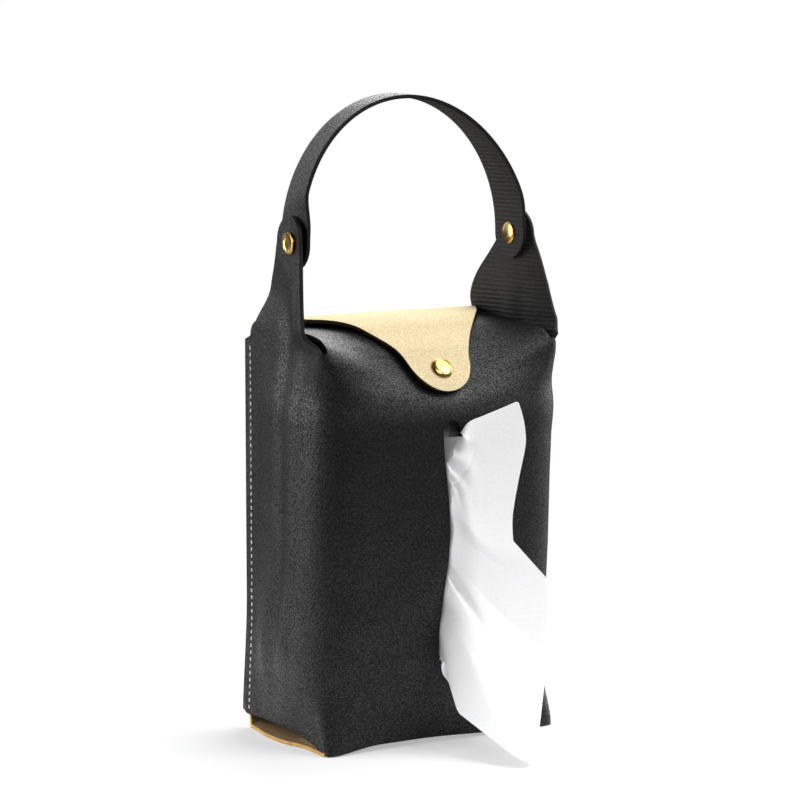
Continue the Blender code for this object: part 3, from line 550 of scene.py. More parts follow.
def soft_plan(z):
    """The same as a filled bag has it: a flat seam, a side that bulges to a crest, then a wide round corner."""
    crest_y = CREST_Y + CREST_DRIFT * (1 - smooth(z / SHOULDER_Z))
    crest_x = HALF_WIDTH + SIDE_BULGE
    flange_share = SEAM_FLANGE / (BACK_Y - crest_y)
    share = np.linspace(0, 1, 41)
    out = SIDE_BULGE * smooth(share, flange_share, 1 - flange_share)
    rear = joined(-HALF_WIDTH - out, BACK_Y - share * (BACK_Y - crest_y))
    turn = np.linspace(0, math.pi / 2, 81)[1:]
    depth = crest_y - FRONT_Y + bulge(z)
    x = -crest_x * np.maximum(np.cos(turn), 0.0) ** (2 / SOFT_POWER)
    y = crest_y - depth * np.sin(turn) ** (2 / SOFT_POWER)
    plan = np.concatenate([rear, joined(x, y)])
    return at_distance(plan, PLAN_SHARES * run_of(plan)[-1])


def wall_at(shares, z):
    """The outer face at these shares of the path from the back edge to the front centre, at height z."""
    softness = MOST_SOFT * smooth(z / PINCH_RISE) * smooth((SLIT_Z - z) / SOFT_PINCH)
    plan = (1 - softness) * square_plan(z) + softness * soft_plan(z)
    return sampled(plan, PLAN_SHARES, shares)


print("widest at mid-height:", round(-2000 * wall_at(PLAN_SHARES, 0.09)[:, 0].min(), 1), "mm")

# %% [markdown]
# Over the top the front panel rolls back, flat where the snap sits. Two profiles in the (y, z) plane hold
# that shape: one at the centre, and one at the end of the roll above the slit, where it turns sharply.

# %% The roll over the top
SHOULDER_SHARES = ((0.06, 0.38), (0.38, 0.74))
ROLL_SHARES = ((0.08, 0.315), (0.163, 0.527), (0.247, 0.709), (0.33, 0.867), (0.456, 0.976), (0.665, 1.024))
CORNER_ROLL_SHARES = ((0.0, 0.0), (0.05, 0.46), (0.15, 0.78), (0.32, 0.90), (0.62, 0.97), (1.0, 1.0))
SNAP_NORMAL = Vector((0, -math.cos(SNAP_TILT), math.sin(SNAP_TILT)))
SNAP_UPWARD = Vector((0, math.sin(SNAP_TILT), math.cos(SNAP_TILT)))


def snap_line(depth):
    """Both ends of the flat at the snap, this deep below the flap's outer face, as (y, z)."""
    centre = Vector((0, SNAP_Y, SNAP_Z)) - SNAP_NORMAL * depth
    reach = SNAP_UPWARD * SNAP_FLAT / 2
    return [(end.y, end.z) for end in (centre - reach, centre + reach)]


def roll_profile():
    """The centre of the front panel: from the shoulder to the snap's flat, and from the flat to the free edge."""
    low, high = snap_line(LEATHER + SNAP_STACK)
    shoulder = (FRONT_Y - FRONT_BULGE, SHOULDER_Z)
    below = curved([shoulder, *between(shoulder, low, SHOULDER_SHARES), low], 12)
    end = (ROLL_END_Y, ROLL_END_Z)
    beyond = curved([high, *between(high, end, ROLL_SHARES), end], 12)
    return below, np.concatenate([np.linspace(low, high, 9)[1:-1], beyond])


def corner_roll_profile():
    return curved(between((FRONT_Y, SLIT_Z), (ROLL_END_Y, ROLL_CORNER_Z), CORNER_ROLL_SHARES), 12)


# %% Rows and columns of the wrap
LOW_ROWS = 62
SHOULDER_ROWS = 26
ROLL_ROWS = 46
LEAST_ROW = 0.0006
SIDE_SHARES = np.concatenate([np.linspace(0, 0.10, 9)[:-1], np.linspace(0.10, 1.0, 40)])
FRONT_SHARES = np.concatenate([np.linspace(0, 0.85, 34)[:-1], np.linspace(0.85, 1.0, 12)])


def slot_half(z):
    """Half the slot's width at this height, with round ends."""
    radius = SLOT_WIDTH / 2
    beyond = np.maximum(np.maximum(SLOT_BOTTOM_Z + radius - z, z - SLOT_TOP_Z + radius), 0.0)
    return np.sqrt(np.maximum(radius**2 - beyond**2, 0.0))


def round_end_heights(tip, inward):
    """Heights close together where the slot's round end needs them."""
    turns = np.linspace(0, math.pi / 2, 9)
    return tip + inward * SLOT_WIDTH / 2 * (1 - np.cos(turns))


def merged(values, extra):
    """Both lists in order, without places of the first that lie too close to one of the second."""
    kept = [v for v in values if np.abs(extra - v).min() > LEAST_ROW]
    return np.array(sorted([*kept, *extra]))


LOW_HEIGHTS = merged(np.linspace(0, SHOULDER_Z, LOW_ROWS), round_end_heights(SLOT_BOTTOM_Z, 1))
ROLL_BELOW, ROLL_ABOVE = roll_profile()
SHOULDER_PLACES = np.interp(round_end_heights(SLOT_TOP_Z, -1), ROLL_BELOW[:, 1], run_of(ROLL_BELOW))
SHOULDER_RUN = merged(np.linspace(0, run_of(ROLL_BELOW)[-1], SHOULDER_ROWS), SHOULDER_PLACES)
SHOULDER_CENTRE = at_distance(ROLL_BELOW, SHOULDER_RUN)
SHOULDER_HEIGHTS = SHOULDER_Z + (SLIT_Z - SHOULDER_Z) * SHOULDER_RUN / SHOULDER_RUN[-1]
print("rows:", len(LOW_HEIGHTS), "to the shoulder,", len(SHOULDER_HEIGHTS), "to the slit")

# %% [markdown]
# ## The front, the sides and the ears
#
# A filled bag isn't even. So once a grid is made, a few soft movements are laid over it, each near one place.
# Pairs say where a movement sets in and over what length, or, for a height, its middle and its reach.

# %% Movements of the leather
FOOT_FLARE = 0.0027
FOOT_DEPTH = 0.016
FOOT_HEIGHT = 0.065
ARCH = 0.0030
ARCH_RISE = 0.035
ARCH_FROM_LEFT = (-0.063, 0.030)
ARCH_FROM_RIGHT = (0.060, -0.075)
ARCH_AHEAD = (0.010, -0.040)
LIP_FORWARD = 0.0036
LIP_OVER = 0.0028
LIP_WIDTH = 0.018
LIP_HEIGHT = (0.102, 0.052)
LEAN = 0.0026
LEAN_RISE = 0.030
LEAN_ACROSS = (0.72, 0.28)
LEAN_AHEAD = (-0.014, -0.024)
RIGHT_CORNER_MM = (
    (0, 3.2), (90, 3.2), (108, 2.8), (126, 2.4), (145, 2.6), (162, 4.2), (176, 4.3), (183, 3.2), (189, 1.9),
    (193, 0.3), (197, -1.7), (201, -2.1), (205, -1.5), (210, -0.8), (216, 0.0),
)
RIGHT_CORNER_ACROSS = (0.60, 0.32)
RIGHT_CORNER_AHEAD = (-0.002, -0.026)
RIGHT_TUCK = 0.0020
RIGHT_TUCK_BEHIND = (0.008, 0.020)
RIGHT_TUCK_HEIGHT = (0.206, 0.012)


def flared(x, y, z):
    """The foot of each seam stands out a little."""
    near = smooth(y, BACK_Y - FOOT_DEPTH, FOOT_DEPTH) * (1 - smooth(z / FOOT_HEIGHT))
    return x * (1 + FOOT_FLARE / HALF_WIDTH * near), y, z


def arched(x, y, z):
    """The front's lower edge stands a little clear of the floor between its corners."""
    within = smooth(x, *ARCH_FROM_LEFT) * smooth(x, *ARCH_FROM_RIGHT) * smooth(y, *ARCH_AHEAD)
    return x, y, z + ARCH * within * (1 - smooth(z / ARCH_RISE))


def lipped(x, y, z):
    """The slot's left lip is drawn forward by the tissue that is pulled past it."""
    near = smooth(1 + (x + SLOT_WIDTH / 2) / LIP_WIDTH) * (x < 0) * (y < FRONT_Y)
    pull = near * hump(z, *LIP_HEIGHT)
    return x + LIP_OVER * pull, y - LIP_FORWARD * pull, z


def leaned(x, y, z):
    """Up to the slits the corners lean out, which starts the ears' own lean."""
    near = smooth(np.abs(x) / HALF_WIDTH, *LEAN_ACROSS) * smooth(y, *LEAN_AHEAD)
    return x + np.sign(x) * LEAN * near * smooth(z, SLIT_Z - LEAN_RISE, LEAN_RISE), y, z


def filled(x, y, z):
    """The pack presses the right front corner out, and the right ear tucks in behind."""
    heights, moves = np.array(RIGHT_CORNER_MM).T * MILLIMETRE
    near = smooth(x / HALF_WIDTH, *RIGHT_CORNER_ACROSS) * smooth(y, *RIGHT_CORNER_AHEAD)
    tuck = RIGHT_TUCK * (x > 0) * smooth(y, *RIGHT_TUCK_BEHIND) * hump(z, *RIGHT_TUCK_HEIGHT)
    return x + np.interp(z, heights, moves) * near - tuck, y, z


def moved(points, *movements):
    for movement in movements:
        points = joined(*movement(*np.moveaxis(points, -1, 0)))
    return points


# %% [markdown]
# The front panel is a grid of rows from the hem to the free edge of the roll. Its last column is pushed
# out from the centre line where the slot is, so the slot is a real opening with a real cut edge. The side
# panel is a second grid that shares the front's corner up to the slit, and the ear goes on above it.

# %% The front panel
HEM_TAPER = 0.005
HEM_TAPER_OVER = 0.2


def front_row(height, centre):
    """One row up to the slit: the wall up to the slot's edge, drawn over towards the roll's profile."""
    across = FRONT_SHARES * (1 - slot_half(centre[1]) / HALF_WIDTH)
    x, y = wall_at(CORNER_SHARE + (1 - CORNER_SHARE) * across, height).T
    weight = 1 - (1 - across) ** 2
    y = y + weight * (centre[0] - (FRONT_Y - bulge(height)))
    return joined(x, y, height + weight * (centre[1] - height))


def roll_row(centre, corner):
    """One row above the slit, from the roll's end at the corner to its centre."""
    weight = 1 - (1 - FRONT_SHARES) ** 2
    x = -(HALF_WIDTH - SLIT_OPENING) * (1 - FRONT_SHARES)
    return joined(x, corner[0] + weight * (centre[0] - corner[0]), corner[1] + weight * (centre[1] - corner[1]))


def front_grid():
    rows = [front_row(z, (FRONT_Y - bulge(z), z)) for z in LOW_HEIGHTS]
    rows += [front_row(z, centre) for z, centre in zip(SHOULDER_HEIGHTS[1:], SHOULDER_CENTRE[1:])]
    centres = spaced(np.concatenate([[SHOULDER_CENTRE[-1]], ROLL_ABOVE]), ROLL_ROWS)[1:]
    corners = spaced(corner_roll_profile(), ROLL_ROWS)[1:]
    rows += [roll_row(centre, corner) for centre, corner in zip(centres, corners)]
    return grid_of(rows)


def hem_grid():
    """The hem turned under the base, from its free edge to the bottom fold."""
    bottom = front_row(0.0, (FRONT_Y, 0.0))
    rows = []
    for depth in np.linspace(1, 0, 9):
        cut_in = HEM_TAPER * np.abs(bottom[:, 0]) / HALF_WIDTH * smooth(depth, 0.0, HEM_TAPER_OVER)
        rows.append(bottom + joined(cut_in, np.full(len(bottom), HEM_DEPTH * depth), 0 * cut_in))
    return grid_of(rows)


FRONT = front_grid()
print("front grid:", FRONT[0].shape[:2])

# %% The ear
EAR_BACK_SHARES = (
    (1.0, 0.0), (0.858, 0.064), (0.772, 0.20), (0.695, 0.36), (0.575, 0.58), (0.415, 0.78), (0.305, 0.93),
)
EAR_FRONT_SHARES = (
    (1.0, 0.0), (0.955, 0.055), (0.850, 0.135), (0.72, 0.315), (0.60, 0.529), (0.500, 0.764), (0.415, 0.925),
)
EAR_ROWS = 44
EAR_ROW_POWER = 1.7
EAR_TOE_OUT = 0.29
EAR_TOE_OUT_START = 0.0055
EAR_TOE_OUT_RISE = 0.010
EAR_TOE_IN = 0.27
EAR_TOE_IN_START = 0.0140
EAR_TOE_IN_Z = (0.198, 0.020)


def ear_edges():
    """Back and front edge of the ear as (y, z) lines, from the seam's top and the slit to the round top."""
    back = curved(between((RIVET_Y, SEAM_TOP_Z), (BACK_Y, RIVET_Z), EAR_BACK_SHARES), 4)
    front = curved(between((RIVET_Y, SLIT_Z), (FRONT_Y, RIVET_Z), EAR_FRONT_SHARES), 4)
    turns = np.radians(np.linspace(0, 86, 12))
    edges = []
    for side, edge in ((1, back), (-1, front)):
        top = joined(RIVET_Y + side * EAR_RADIUS * np.cos(turns), RIVET_Z + EAR_RADIUS * np.sin(turns))
        edges.append(np.concatenate([edge, top]))
    return np.concatenate([[(BACK_Y, SLIT_Z)], edges[0]]), edges[1]


def by_height(edge):
    """The edge at EAR_ROWS heights, closer together towards the round top."""
    share = np.linspace(0, 1, EAR_ROWS)
    heights = edge[0, 1] + (edge[-1, 1] - edge[0, 1]) * (1 - (1 - share) ** EAR_ROW_POWER)
    return sampled(edge, edge[:, 1], heights)


def toe(y, z):
    """How far the ear leans out of the side's plane: out at its front edge, in at its back edge."""
    ahead = RIVET_Y - y
    reach = np.hypot(ahead, z - RIVET_Z)
    beyond_out, beyond_in = (
        np.maximum(0.0, 1 - start / np.maximum(reach, start)) for start in (EAR_TOE_OUT_START, EAR_TOE_IN_START)
    )
    out = EAR_TOE_OUT * beyond_out * ahead * smooth(z, SLIT_Z, EAR_TOE_OUT_RISE)
    into = EAR_TOE_IN * beyond_in * ahead * smooth(z, *EAR_TOE_IN_Z)
    return np.where(ahead > 0, out, into)


# %% The side panel with its ear
STITCH_INSET = 0.0049
SEAM_DENT = 0.0005
SEAM_DENT_WIDTH = 0.0016
FOOT_ROUND = 0.0022
FOOT_ROUND_DEPTH = 0.0045
VALLEY_DEPTH = 0.0016
VALLEY_WIDTH = 0.010
VALLEY_Y = (0.0075, -0.0030)
VALLEY_DRIFT = (0.035, 0.060)
VALLEY_START = (0.020, 0.040)
VALLEY_END = (0.196, 0.030)
CREST_RISE = 0.0009
CREST_AHEAD = 0.010
CREST_WIDTH = 0.009


def seam_dent(y):
    """The stitches pull the leather in along the back seam."""
    return SEAM_DENT * hump(BACK_Y - STITCH_INSET - y, 0.0, SEAM_DENT_WIDTH)


def valley(y, z):
    """A shallow fold runs down the side behind its crest, from the ear to near the base."""
    centre = VALLEY_Y[0] + (VALLEY_Y[1] - VALLEY_Y[0]) * smooth(z, *VALLEY_DRIFT)
    along = smooth(z, *VALLEY_START) * (1 - smooth(z, *VALLEY_END))
    crest = CREST_RISE * hump(y - centre, -CREST_AHEAD, CREST_WIDTH)
    return (VALLEY_DEPTH * hump(y, centre, VALLEY_WIDTH) - crest) * along


def side_grid():
    bottom = SIDE_LIFT * (1 - SIDE_SHARES**SIDE_LIFT_POWER)
    bottom = bottom + FOOT_ROUND * (1 - smooth(SIDE_SHARES * BAG_DEPTH / FOOT_ROUND_DEPTH))
    rows = []
    for height in [*LOW_HEIGHTS, *SHOULDER_HEIGHTS[1:]]:
        x, y = wall_at(CORNER_SHARE * SIDE_SHARES, height).T
        z = bottom + height * (SLIT_Z - bottom) / SLIT_Z
        rows.append(joined(x + seam_dent(y) + valley(y, z), y, z))
    back, front = (by_height(edge) for edge in ear_edges())
    for b, f in zip(back[1:], front[1:]):
        y, z = (start + SIDE_SHARES * (end - start) for start, end in zip(b, f))
        dent = seam_dent(y) * (z < SEAM_TOP_Z) + valley(y, z)
        rows.append(joined(-HALF_WIDTH - toe(y, z) + dent, y, z))
    points, flat = grid_of(rows)
    flat[..., 1] = points[..., 2]
    return points, flat


SIDE = side_grid()
print("side grid:", SIDE[0].shape[:2])

# %% The whole wrap
wrap_grids = []
for half in (SIDE, FRONT, hem_grid()):
    for points, flat in (half, mirrored(half)):
        wrap_grids.append((moved(points, flared, arched, lipped, leaned, filled), flat))
leather_piece("leather_wrap", wrap_grids, BLACK_LEATHER, "holder", ["body_wrap"])

# %% [markdown]
# ## The cream back and base
#
# The cream leather comes down the back, turns under and runs forward over the hem. Its margins are folded
# forward inside the side panels and sewn there. Only the base flares out past the sides, most of all near
# the back, and droops to the floor. There it shows its golden cut edge and, in the gap above it, its suede.

# %% Back and base panel
BASE_CORNER_RADIUS = 0.0125
BASE_STEP = 0.012
BASE_FRONT_SETBACK = 0.001
BASE_FLARE = 0.0066
BASE_FLARE_FRONT = 0.0024
BASE_FLARE_Y = (0.007, 0.032)
BASE_FLARE_START = 0.006
DROOP_ACROSS = (0.0570, 0.0045)
OVER_HEM = LEATHER + GAP
EDGE_X = INNER_HALF_WIDTH - GAP


def base_path():
    """The outer face in (y, z), from the fold at the top down the back and along the base."""
    radius = BASE_CORNER_RADIUS
    down = [(BACK_Y, z) for z in np.linspace(SEAM_TOP_Z, radius, 60)]
    turns = np.radians(np.linspace(0, 90, 17))[1:]
    corner = [(BACK_Y - radius * (1 - math.cos(t)), radius * (1 - math.sin(t))) for t in turns]
    front_y = FRONT_Y + OVER_HEM + BASE_FRONT_SETBACK
    step_y = FRONT_Y + HEM_DEPTH + GAP
    along = []
    for y in np.linspace(corner[-1][0], front_y, 46)[1:]:
        along.append((y, OVER_HEM * float(smooth(y, step_y + BASE_STEP, -BASE_STEP))))
    return np.array([*down, *corner, *along])


def base_flare(y, z):
    """How far the base's edge stands out past the sides: most a little behind the middle."""
    swell = BASE_FLARE * (1 - ((y - BASE_FLARE_Y[0]) / BASE_FLARE_Y[1]) ** 2)
    low = smooth((SIDE_LIFT - z) / SIDE_LIFT)
    return max(swell, BASE_FLARE_FRONT) * low * smooth((BACK_Y - y) / BASE_FLARE_START)


def panel_grid():
    across = np.sin(np.linspace(-math.pi / 2, math.pi / 2, 61))
    rows = []
    for y, z in base_path():
        x = across * (EDGE_X + base_flare(y, z))
        droop = smooth(np.abs(x), *DROOP_ACROSS) * (z < OVER_HEM + GAP / 2)
        rows.append(joined(x, np.full(len(x), y), z * (1 - droop)))
    return grid_of(moved(np.array(rows), flared, arched))


def flange_grid():
    """The margin folded forward inside the side panel."""
    heights = [z for y, z in base_path() if z >= BASE_CORNER_RADIUS - GAP]
    rows = [[(-EDGE_X, BACK_Y - SEAM_FLANGE * (1 - s), z) for s in np.linspace(0, 1, 5)] for z in heights]
    return grid_of(moved(np.array(rows), flared))


flange = flange_grid()
panel_grids = [panel_grid(), flange, mirrored(flange)]
leather_piece("cream_back_and_base", panel_grids, CREAM_LEATHER, "holder", ["back_base_panel"])

# %% [markdown]
# ## The flap
#
# The flap is the same cream leather carried on over the fold at the top of the back. It is wide at the
# fold, and narrows in a long curve to a round tongue under the snap. It crosses the fold that the flap
# opens about.

# %% Flap
FLAP_FOLD_SHARES = ((0.02, 0.37), (0.15, 0.70), (0.51, 0.93))
FLAP_TOP_SHARES = (
    (0.17, -0.044), (0.34, -0.0625), (0.47, -0.069), (0.574, -0.031), (0.675, 0.081), (0.743, 0.2375),
    (0.81, 0.40), (0.878, 0.5625), (0.945, 0.756),
)
FLAP_TIP_SHARES = ((0.24, 0.36), (0.38, 0.80))
FLAP_WIDTH_SHARES = (
    (0.00, 0.985), (0.11, 0.975), (0.215, 0.955), (0.30, 0.866), (0.396, 0.768), (0.50, 0.650), (0.60, 0.520),
    (0.70, 0.395), (0.80, 0.300), (0.90, 0.258), (1.00, 0.250),
)
FLAP_ROW_POWER = 1.5
TIP_SHORTENING = 0.00005


def flap_line():
    """The flap's outer face in (y, z) from the fold to the tip, and its length."""
    low, high = snap_line(0.0)
    hinge = (BACK_Y, SEAM_TOP_Z)
    upper = curved([
        hinge, *between(hinge, FLAP_CREST, FLAP_FOLD_SHARES), FLAP_CREST,
        *between(FLAP_CREST, high, FLAP_TOP_SHARES), high,
    ], 8)
    tip = curved([low, *[(low[0] - a * SNAP_FLAT, low[1] - b * SNAP_FLAT) for a, b in FLAP_TIP_SHARES]], 8)
    length = run_of(upper)[-1] + SNAP_FLAT / 2 + FLAP_TIP_BELOW_SNAP
    return np.concatenate([upper, tip]), length


def flap_half_width(distance, length):
    """Half the flap's width at a distance from the fold: wide at the fold, a round tongue at the tip."""
    places, widths = curved(FLAP_WIDTH_SHARES, 6).T
    width = INNER_HALF_WIDTH * np.interp(distance / length, places, widths)
    from_round = 1 - np.clip((length - distance) / FLAP_TIP_RADIUS, 0, 1)
    return width * np.sqrt(np.maximum(1 - from_round**2, 0.0))


def flap_grid():
    line, length = flap_line()
    share = np.linspace(0, 1, 90)
    distances = (length - TIP_SHORTENING) * (1 - (1 - share) ** FLAP_ROW_POWER)
    centre = at_distance(line, distances)
    half = flap_half_width(distances, length)
    return grid_of([[(h * s, y, z) for s in np.linspace(1, -1, 41)] for h, (y, z) in zip(half, centre)])


# The flap's cut edge carries painted shade: it is darker than the golden edge of the same leather on the base.
flap = leather_piece("cream_flap", [flap_grid()], FLAP_LEATHER_SHADED_EDGE, None, ["top_flap"])

# %% [markdown]
# ## The strap
#
# The strap is a straight band bent into an arch. Its flat ends hang inside the ears. In the photograph it
# leans: its front edge toes out low down and lies further left at the top.

# %% Strap
STRAP_TOE = 0.14
STRAP_SKEW = 0.26
STRAP_TWIST = (0.018, 0.020)
STRAP_TIP_TURN = math.radians(6.0)


def strap_line():
    """The outer face in (x, z), from the left end over the arch to the right end."""
    turns = math.pi * (1 - np.linspace(0, 1, 161))
    arch = joined(EDGE_X * np.cos(turns), RIVET_Z + ARCH_HEIGHT * np.sin(turns))
    low_z = RIVET_Z - STRAP_WIDTH / 2
    return np.concatenate([[(-EDGE_X, low_z)], arch, [(EDGE_X, low_z)]])


def strap_grid():
    line = strap_line()
    total = run_of(line)[-1]
    radius = STRAP_WIDTH / 2
    ends = radius * (1 - np.cos(np.linspace(STRAP_TIP_TURN, math.pi / 2, 14)))
    middle = np.linspace(radius, total - radius, 120)[1:-1]
    distances = np.concatenate([ends, middle, total - ends[::-1]])
    centre = at_distance(line, distances)
    along = at_distance(line, distances + GAP) - at_distance(line, distances - GAP)
    outward = joined(-along[:, 1], along[:, 0])
    outward /= np.linalg.norm(outward, axis=1, keepdims=True)
    from_end = np.minimum(distances, total - distances)
    half = np.sqrt(np.maximum(radius**2 - (radius - np.minimum(from_end, radius)) ** 2, 0.0))
    height = np.maximum(0.0, (centre[:, 1] - RIVET_Z) / ARCH_HEIGHT)
    rows = []
    for side in np.linspace(1, -1, 15):
        ahead = half * (1 - side) * smooth(from_end, *STRAP_TWIST)
        x, z = (centre + outward * (STRAP_TOE * (1 - height) * ahead)[:, None]).T
        rows.append(joined(x - STRAP_SKEW * height * ahead, RIVET_Y + half * side, z))
    points, flat = grid_of(np.array(rows).transpose(1, 0, 2))
    flat[..., 1] = distances[:, None]
    return points, flat


leather_piece("leather_strap", [strap_grid()], BLACK_LEATHER, "handle", ["handle_strap"])

# %% [markdown]
# ## Brass fasteners
#
# The rivets and the snap are turned shapes, so each is one profile spun about its axis. The outer rivet
# caps are flat with a raised rim, the inner ones are domed, and the snap's cap is a low dome. Brass this
# old isn't even: its roughness and colour drift over each cap.


# %% Brass
def brass(name):
    made, tree, shader = new_material(name, 0.28, metallic=1.0)
    drift = noise(tree, 160.0, 3.0)
    patina = ranged(tree, drift, 0.35, 0.65)
    feed(shader, {
        "Base Color": blend_colours(tree, patina, (0.50, 0.32, 0.09), (0.72, 0.50, 0.18)),
        "Roughness": ranged(tree, drift, *NOISE_RANGE, 0.20, 0.28),
    })
    return made


BRASS = brass("aged brass")
print("material:", BRASS.name)

# %% Rivets and snap
RIVET_OUTER_SHARES = (
    (0.0, 0.68), (0.40, 0.66), (0.70, 0.60), (0.79, 0.74), (0.87, 1.0), (0.94, 0.95), (1.0, 0.60), (1.0, 0.25),
    (0.95, 0.0),
)
RIVET_INNER_SHARES = ((0.0, 1.0), (0.30, 0.97), (0.60, 0.85), (0.82, 0.62), (0.95, 0.38), (1.0, 0.15), (0.95, 0.0))
SNAP_SHARES = ((0.0, 1.0), (0.30, 0.985), (0.60, 0.90), (0.82, 0.72), (0.94, 0.48), (1.0, 0.22), (0.95, 0.0))
RIVET_TUBE_RADIUS = 0.0021
SNAP_SHANK_RADIUS = 0.0012


def stem(radius, start, end):
    """The stem under a cap, as (radius, height) points that end on the axis."""
    return [(radius, start), (radius, end), (0, end)]


def add_cap(name, shares, radius, height, base, under, origin, axis, body, replaced):
    profile = [(radius * a, base + height * b) for a, b in shares] + under
    add_piece(name, turned(name, profile, origin, axis), [BRASS], body, [replaced])


def show_in(material, *nodes):
    """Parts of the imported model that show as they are, in one of these materials."""
    for node in nodes:
        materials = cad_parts[node].data.materials
        materials.clear()
        materials.append(material)


RIVET_CAPS = (
    ("outer", RIVET_OUTER_SHARES, stem(RIVET_TUBE_RADIUS, 0, GAP - TWO_LAYERS), 0.0, 1),
    ("inner", RIVET_INNER_SHARES, [(0, 0)], TWO_LAYERS, -1),
)
for side_name, sign in SIDES:
    for part, shares, under, inward, way in RIVET_CAPS:
        node = f"{side_name}_rivet_{part}"
        origin = (sign * (HALF_WIDTH + GAP - inward), RIVET_Y, RIVET_Z)
        size = (RIVET_CAP_RADIUS, RIVET_CAP_HEIGHT, 0.0)
        add_cap(node + "_cap", shares, *size, under, origin, (sign * way, 0, 0), "holder", node)

shank = stem(SNAP_SHANK_RADIUS, GAP, -LEATHER)
size = (SNAP_CAP_RADIUS, SNAP_CAP_HEIGHT, GAP)
add_cap("snap_dome", SNAP_SHARES, *size, shank, (0, SNAP_Y, SNAP_Z), SNAP_NORMAL, "flap", "snap_cap")
show_in(BRASS, "snap_socket", "snap_stud", "snap_post")

# %% [markdown]
# ## Stitching
#
# White thread shows as short stitches with a gap between them, each sunk at both ends. One stitch is a
# stretched round bead, and a loop sets a row of them along each back seam and along the hem inside.

# %% Stitches
STITCH_PITCH = 0.0034
STITCH_LENGTH = 0.0021
THREAD = 0.0008
FLATNESS = 0.8
SEAM_START_Z = SIDE_LIFT + 0.002
SEAM_END_Z = SEAM_TOP_Z + 0.001
HEM_STITCH_SHARE = 0.55


def stitch_row(name, start, end, outward, replaced):
    """Stitches from start to end, lying on a face whose outward direction is given."""
    start, end, outward = Vector(start), Vector(end), Vector(outward)
    way = (end - start).normalized()
    across = way.cross(outward)
    bm = bmesh.new()
    for i in range(int((end - start).length / STITCH_PITCH)):
        centre = start + way * (i + 0.5) * STITCH_PITCH
        for vertex in bmesh.ops.create_uvsphere(bm, u_segments=10, v_segments=6, radius=0.5)["verts"]:
            x, y, z = vertex.co
            place = centre + across * x * THREAD + outward * (y * THREAD * FLATNESS) + way * z * STITCH_LENGTH
            vertex.co = moved(np.array(place), flared)
    add_piece(name, smooth_mesh(name, bm), [WHITE_THREAD], "holder", [replaced])


y = BACK_Y - STITCH_INSET
for side_name, sign in SIDES:
    x = sign * (HALF_WIDTH - SEAM_DENT + THREAD / 4)
    ends = (x, y, SEAM_START_Z), (x, y, SEAM_END_Z)
    stitch_row(side_name + "_seam_stitches", *ends, (sign, 0, 0), side_name + "_seam_thread")
y = FRONT_Y + HEM_DEPTH * HEM_STITCH_SHARE
z = TWO_LAYERS
half = INNER_HALF_WIDTH - SEAM_FLANGE
stitch_row("hem_stitches", (-half, y, z), (half, y, z), (0, 0, 1), "base_seam_thread")

# %% [markdown]
# ## The tissues
#
# Inside stands a soft pack: a block of folded sheets in clear film, open in front. One sheet is pulled out
# through the slot. It leaves it in tight gathers and opens out to its free edge, with folds that are
# sharp at the slot and fade on the way.

# %% Pack in its film
PACK_WIDTH = 0.104
PACK_DEPTH = 0.058
PACK_HEIGHT = 0.168
PACK_FRONT_Y = -0.0335
PACK_FLOOR_Z = TWO_LAYERS + THREAD
BLOCK_INSET = 0.0006
BLOCK_SHEETS = 26
BLOCK_GROOVE = 0.0004
BLOCK_CROWN = 0.02
BLOCK_EDGE = 0.003
BLOCK_EDGE_OVER = 1.2
AT_FACE = 0.49


def film_material():
    made, tree, shader = new_material("clear film", 0.15)
    ripple = noise(tree, 90.0)
    feed(shader, {
        "Base Color": (0.85, 0.88, 0.92, 1.0),
        "Alpha": ranged(tree, ripple, *NOISE_RANGE, 0.16, 0.34),
        "Normal": bumped(tree, ripple, 0.002, 0.5),
    })
    return made


def folded_block(name):
    """The block of sheets: a grid on each face, each sheet's fold a shallow groove round it."""
    bm = bmesh.new()
    bmesh.ops.create_cube(bm, size=1.0)
    bmesh.ops.subdivide_edges(bm, edges=bm.edges, cuts=30, use_grid_fill=True)
    width, depth, height = (size - 2 * BLOCK_INSET for size in (PACK_WIDTH, PACK_DEPTH, PACK_HEIGHT))
    for vertex in bm.verts:
        x, y, z = vertex.co
        groove = BLOCK_GROOVE * abs(math.sin(math.pi * BLOCK_SHEETS * (y + 0.5)))
        crown = 1 - BLOCK_CROWN * (4 * z * z) ** 2
        vertex.co = (
            x * width * crown - math.copysign(groove, x) * (abs(x) > AT_FACE),
            PACK_FRONT_Y + PACK_DEPTH / 2 + y * depth,
            PACK_FLOOR_Z + BLOCK_INSET + (z + 0.5) * height - groove * (z > AT_FACE),
        )
    sharp = [edge for edge in bm.edges if edge.calc_face_angle(0) > BLOCK_EDGE_OVER]
    bmesh.ops.bevel(bm, geom=sharp, offset=BLOCK_EDGE, segments=3, profile=0.6, affect="EDGES")
    return smooth_mesh(name, bm, sharp_over=50.0)


block = folded_block("folded_tissues")
add_piece("folded_tissues", block, [WHITE_PAPER], "holder", ["tissue_stack"])
show_in(film_material(), "pack_film")

